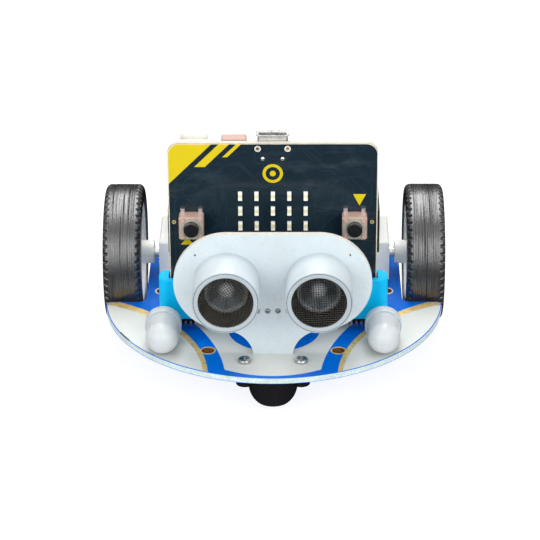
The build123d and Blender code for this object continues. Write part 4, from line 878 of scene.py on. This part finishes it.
def lamp(name):
    low, high = box_mm("headlight_" + name)
    centre = (low + high) / 2
    flange = (high.x - low.x) / 2
    radius = flange - 0.5
    dome = low.y + radius
    front = high.y - 2.6
    soft = 0.18
    turns = [math.radians(22.5 * i) for i in range(5)]
    profile = [(high.y, 0.01)]
    profile += [(high.y - soft + soft * math.cos(a), flange - soft + soft * math.sin(a)) for a in turns]
    profile += [(front + soft - soft * math.sin(a), flange - soft + soft * math.cos(a)) for a in turns]
    profile += [(front, radius + 0.14), (front - 0.04, radius + 0.04), (front - 0.14, radius)]
    profile += [(front + (dome - front) * i / 6, radius) for i in range(1, 6)]
    profile += [(dome - radius * math.sin(a), radius * math.cos(a))
                for a in [math.radians(3.75 * i) for i in range(24)]]
    profile += [(low.y, 0.01)]
    piece = turned("lamp_" + name, profile, centre, "Y", 96, "chassis", materials["frosted_white"])
    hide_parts("headlight_" + name)
    # A thin bead round the front of the flange, coloured pale blue as a painted reflection of the blue
    # board.
    wire = 0.07
    bead = [(front + 0.02 + wire * math.sin(a), flange - 0.12 + wire * math.cos(a))
            for a in [math.radians(45 * i) for i in range(8)]]
    turned("lamp_rim_reflection_" + name, bead, centre, "Y", 96, "chassis", painted_blue_reflection)


# Small soldered parts that line up beside the chips, in rows: first place and count

BOARD_ROWS = ((3.5, -2.0, 4), (15.0, -2.5, 4), (-20.0, 29.0, 3), (14.5, 29.0, 3), (-4.0, 27.5, 5))
CARD_ROWS = ((-20.0, 45.5, 5), (9.5, 33.0, 6), (14.0, 52.5, 4))


def small_parts():
    """Chip resistors and capacitors: a body with a tinned cap at each end."""
    bodies, ends = bmesh.new(), bmesh.new()
    length, width, height, cap = 1.6, 0.8, 0.5, 0.3

    def block(work, size, matrix):
        made = bmesh.ops.create_cube(work, size=1.0, matrix=matrix @ Matrix.Diagonal((*size, 1)))
        corners = list({e for v in made["verts"] for e in v.link_edges})
        bmesh.ops.bevel(work, geom=corners, offset=0.05, segments=2, affect="EDGES")

    def part(matrix):
        block(bodies, (length - 2 * cap, width, height), matrix @ Matrix.Translation((0, 0, height / 2)))
        for side, _ in SIDES:
            middle = (side * (length - cap) / 2, 0, height / 2)
            block(ends, (cap, width + 0.04, height + 0.04), matrix @ Matrix.Translation(middle))

    top = BOARD_TOP
    across = Matrix.Rotation(math.pi / 2, 4, "Z")
    for x, y, count in BOARD_ROWS:
        for i in range(count):
            part(Matrix.Translation((x + i * 1.5, y, top)) @ across)
    to_back = Matrix.Rotation(-math.pi / 2, 4, "X")
    for x, z, count in CARD_ROWS:
        for i in range(count):
            part(Matrix.Translation((x + i * 1.6, CARD_BACK, z)) @ to_back @ across)
    for name, work, paint, slot in (("small_part_bodies", bodies, materials["chip_black"], "chip_black"),
                                    ("small_part_ends", ends, materials["solder_metal"], "solder_metal")):
        mesh = bpy.data.meshes.new(name)
        work.to_mesh(mesh)
        work.free()
        mesh.transform(Matrix.Scale(MM, 4))
        keep(name, mesh, "chassis", paint)


# Camera, floor and lights

CAMERA_PLACE = (5.49, -553.36, 293.68)
CAMERA_YAW, CAMERA_PITCH, CAMERA_ROLL = -0.672, 26.333, -0.341
CAMERA_LENS, CAMERA_SENSOR = 160.27, 36.0
# From here on, lengths are in metres.
FLOOR_HALF, FLOOR_DROP = 12.0, 0.0002
LIGHT_AIM = (0.0, 0.0, 0.03)
LIGHTS = (("key", (0.5, -0.75, 0.45), 0.7, 0.7, 4.8),
          ("fill", (-0.5, -0.75, 0.4), 0.7, 0.7, 4.8),
          ("top", (0.0, 0.36, 0.85), 0.45, 1.0, 9.0))


def add_camera(scene):
    camera = bpy.data.objects.new("camera", bpy.data.cameras.new("camera"))
    scene.collection.objects.link(camera)
    yaw, pitch, roll = (math.radians(a) for a in (CAMERA_YAW, CAMERA_PITCH, CAMERA_ROLL))
    ahead = Vector((math.sin(yaw) * math.cos(pitch), math.cos(yaw) * math.cos(pitch), -math.sin(pitch)))
    level = Vector((math.cos(yaw), -math.sin(yaw), 0))
    up = level.cross(ahead)
    right = level * math.cos(roll) + up * math.sin(roll)
    upright = up * math.cos(roll) - level * math.sin(roll)
    turn = Matrix((right, upright, -ahead)).transposed().to_4x4()
    camera.matrix_world = Matrix.Translation(Vector(CAMERA_PLACE) * MM) @ turn
    camera.data.sensor_width = CAMERA_SENSOR
    camera.data.lens = CAMERA_LENS
    camera.data.clip_start, camera.data.clip_end = 0.01, 20.0
    scene.camera = camera


def add_world(scene):
    """Light from all round: bright in front of the robot, dim low behind it, and dark below the floor."""
    world = bpy.data.worlds.new("studio")
    world.use_nodes = True
    nodes, links = world.node_tree.nodes, world.node_tree.links
    sky = nodes["Background"]
    where = nodes.new("ShaderNodeTexCoord").outputs["Generated"]
    height = nodes.new("ShaderNodeSeparateXYZ")
    links.new(where, height.inputs[0])

    def spread(value, low, high, start, end):
        made = nodes.new("ShaderNodeMapRange")
        for key, number in (("From Min", low), ("From Max", high), ("To Min", start), ("To Max", end)):
            made.inputs[key].default_value = number
        links.new(value, made.inputs["Value"])
        return made.outputs["Result"]

    def joined(operation, a, b):
        made = nodes.new("ShaderNodeMath")
        made.operation = operation
        links.new(a, made.inputs[0])
        links.new(b, made.inputs[1])
        return made.outputs[0]

    fore = spread(height.outputs[1], -1.0, 1.0, 0.98, 0.0)
    rise = spread(height.outputs[2], 0.0, 1.0, 0.05, 0.35)
    above = spread(height.outputs[2], -0.12, 0.4, 0.08, 1.0)
    links.new(joined("MULTIPLY", joined("ADD", fore, rise), above), sky.inputs["Strength"])
    sky.inputs["Color"].default_value = (0.98, 0.985, 1.0, 1.0)
    scene.world = world


def add_floor(scene):
    """A plain sheet of pale paper that glows a little and isn't seen in glossy parts."""
    mesh = bpy.data.meshes.new("floor")
    corners = [(x * FLOOR_HALF, y * FLOOR_HALF, 0) for x, y in ((-1, -1), (1, -1), (1, 1), (-1, 1))]
    mesh.from_pydata(corners, [], [(0, 1, 2, 3)])
    floor = bpy.data.objects.new("floor", mesh)
    floor.location.z = -FLOOR_DROP
    scene.collection.objects.link(floor)
    paper = Paint("paper").finish((0.22, 0.22, 0.22), 0.8, vary=0.004, blotch=60.0, grain_depth=0.002,
                                  edge=0, Specular_IOR_Level=0.1, Emission_Color=(1.0, 1.0, 1.0),
                                  Emission_Strength=0.86)
    mesh.materials.append(paper)
    floor.visible_glossy = False


def add_lights(scene):
    for name, place, wide, long, power in LIGHTS:
        lamp_data = bpy.data.lights.new(name, "AREA")
        lamp_data.shape = "RECTANGLE"
        lamp_data.size, lamp_data.size_y = wide, long
        lamp_data.energy = power
        light = bpy.data.objects.new(name, lamp_data)
        light.location = place
        light.rotation_euler = (Vector(LIGHT_AIM) - Vector(place)).to_track_quat("-Z", "Y").to_euler()
        scene.collection.objects.link(light)


def studio():
    scene = bpy.context.scene
    scene.view_settings.view_transform = "Standard"
    add_camera(scene)
    add_world(scene)
    add_floor(scene)
    add_lights(scene)


board_prints()
card_prints()
sonar_prints()
all_tracks()
for wheel in ("left", "right"):
    tyre(wheel)
    lamp(wheel)
eye_parts()
small_parts()
studio()
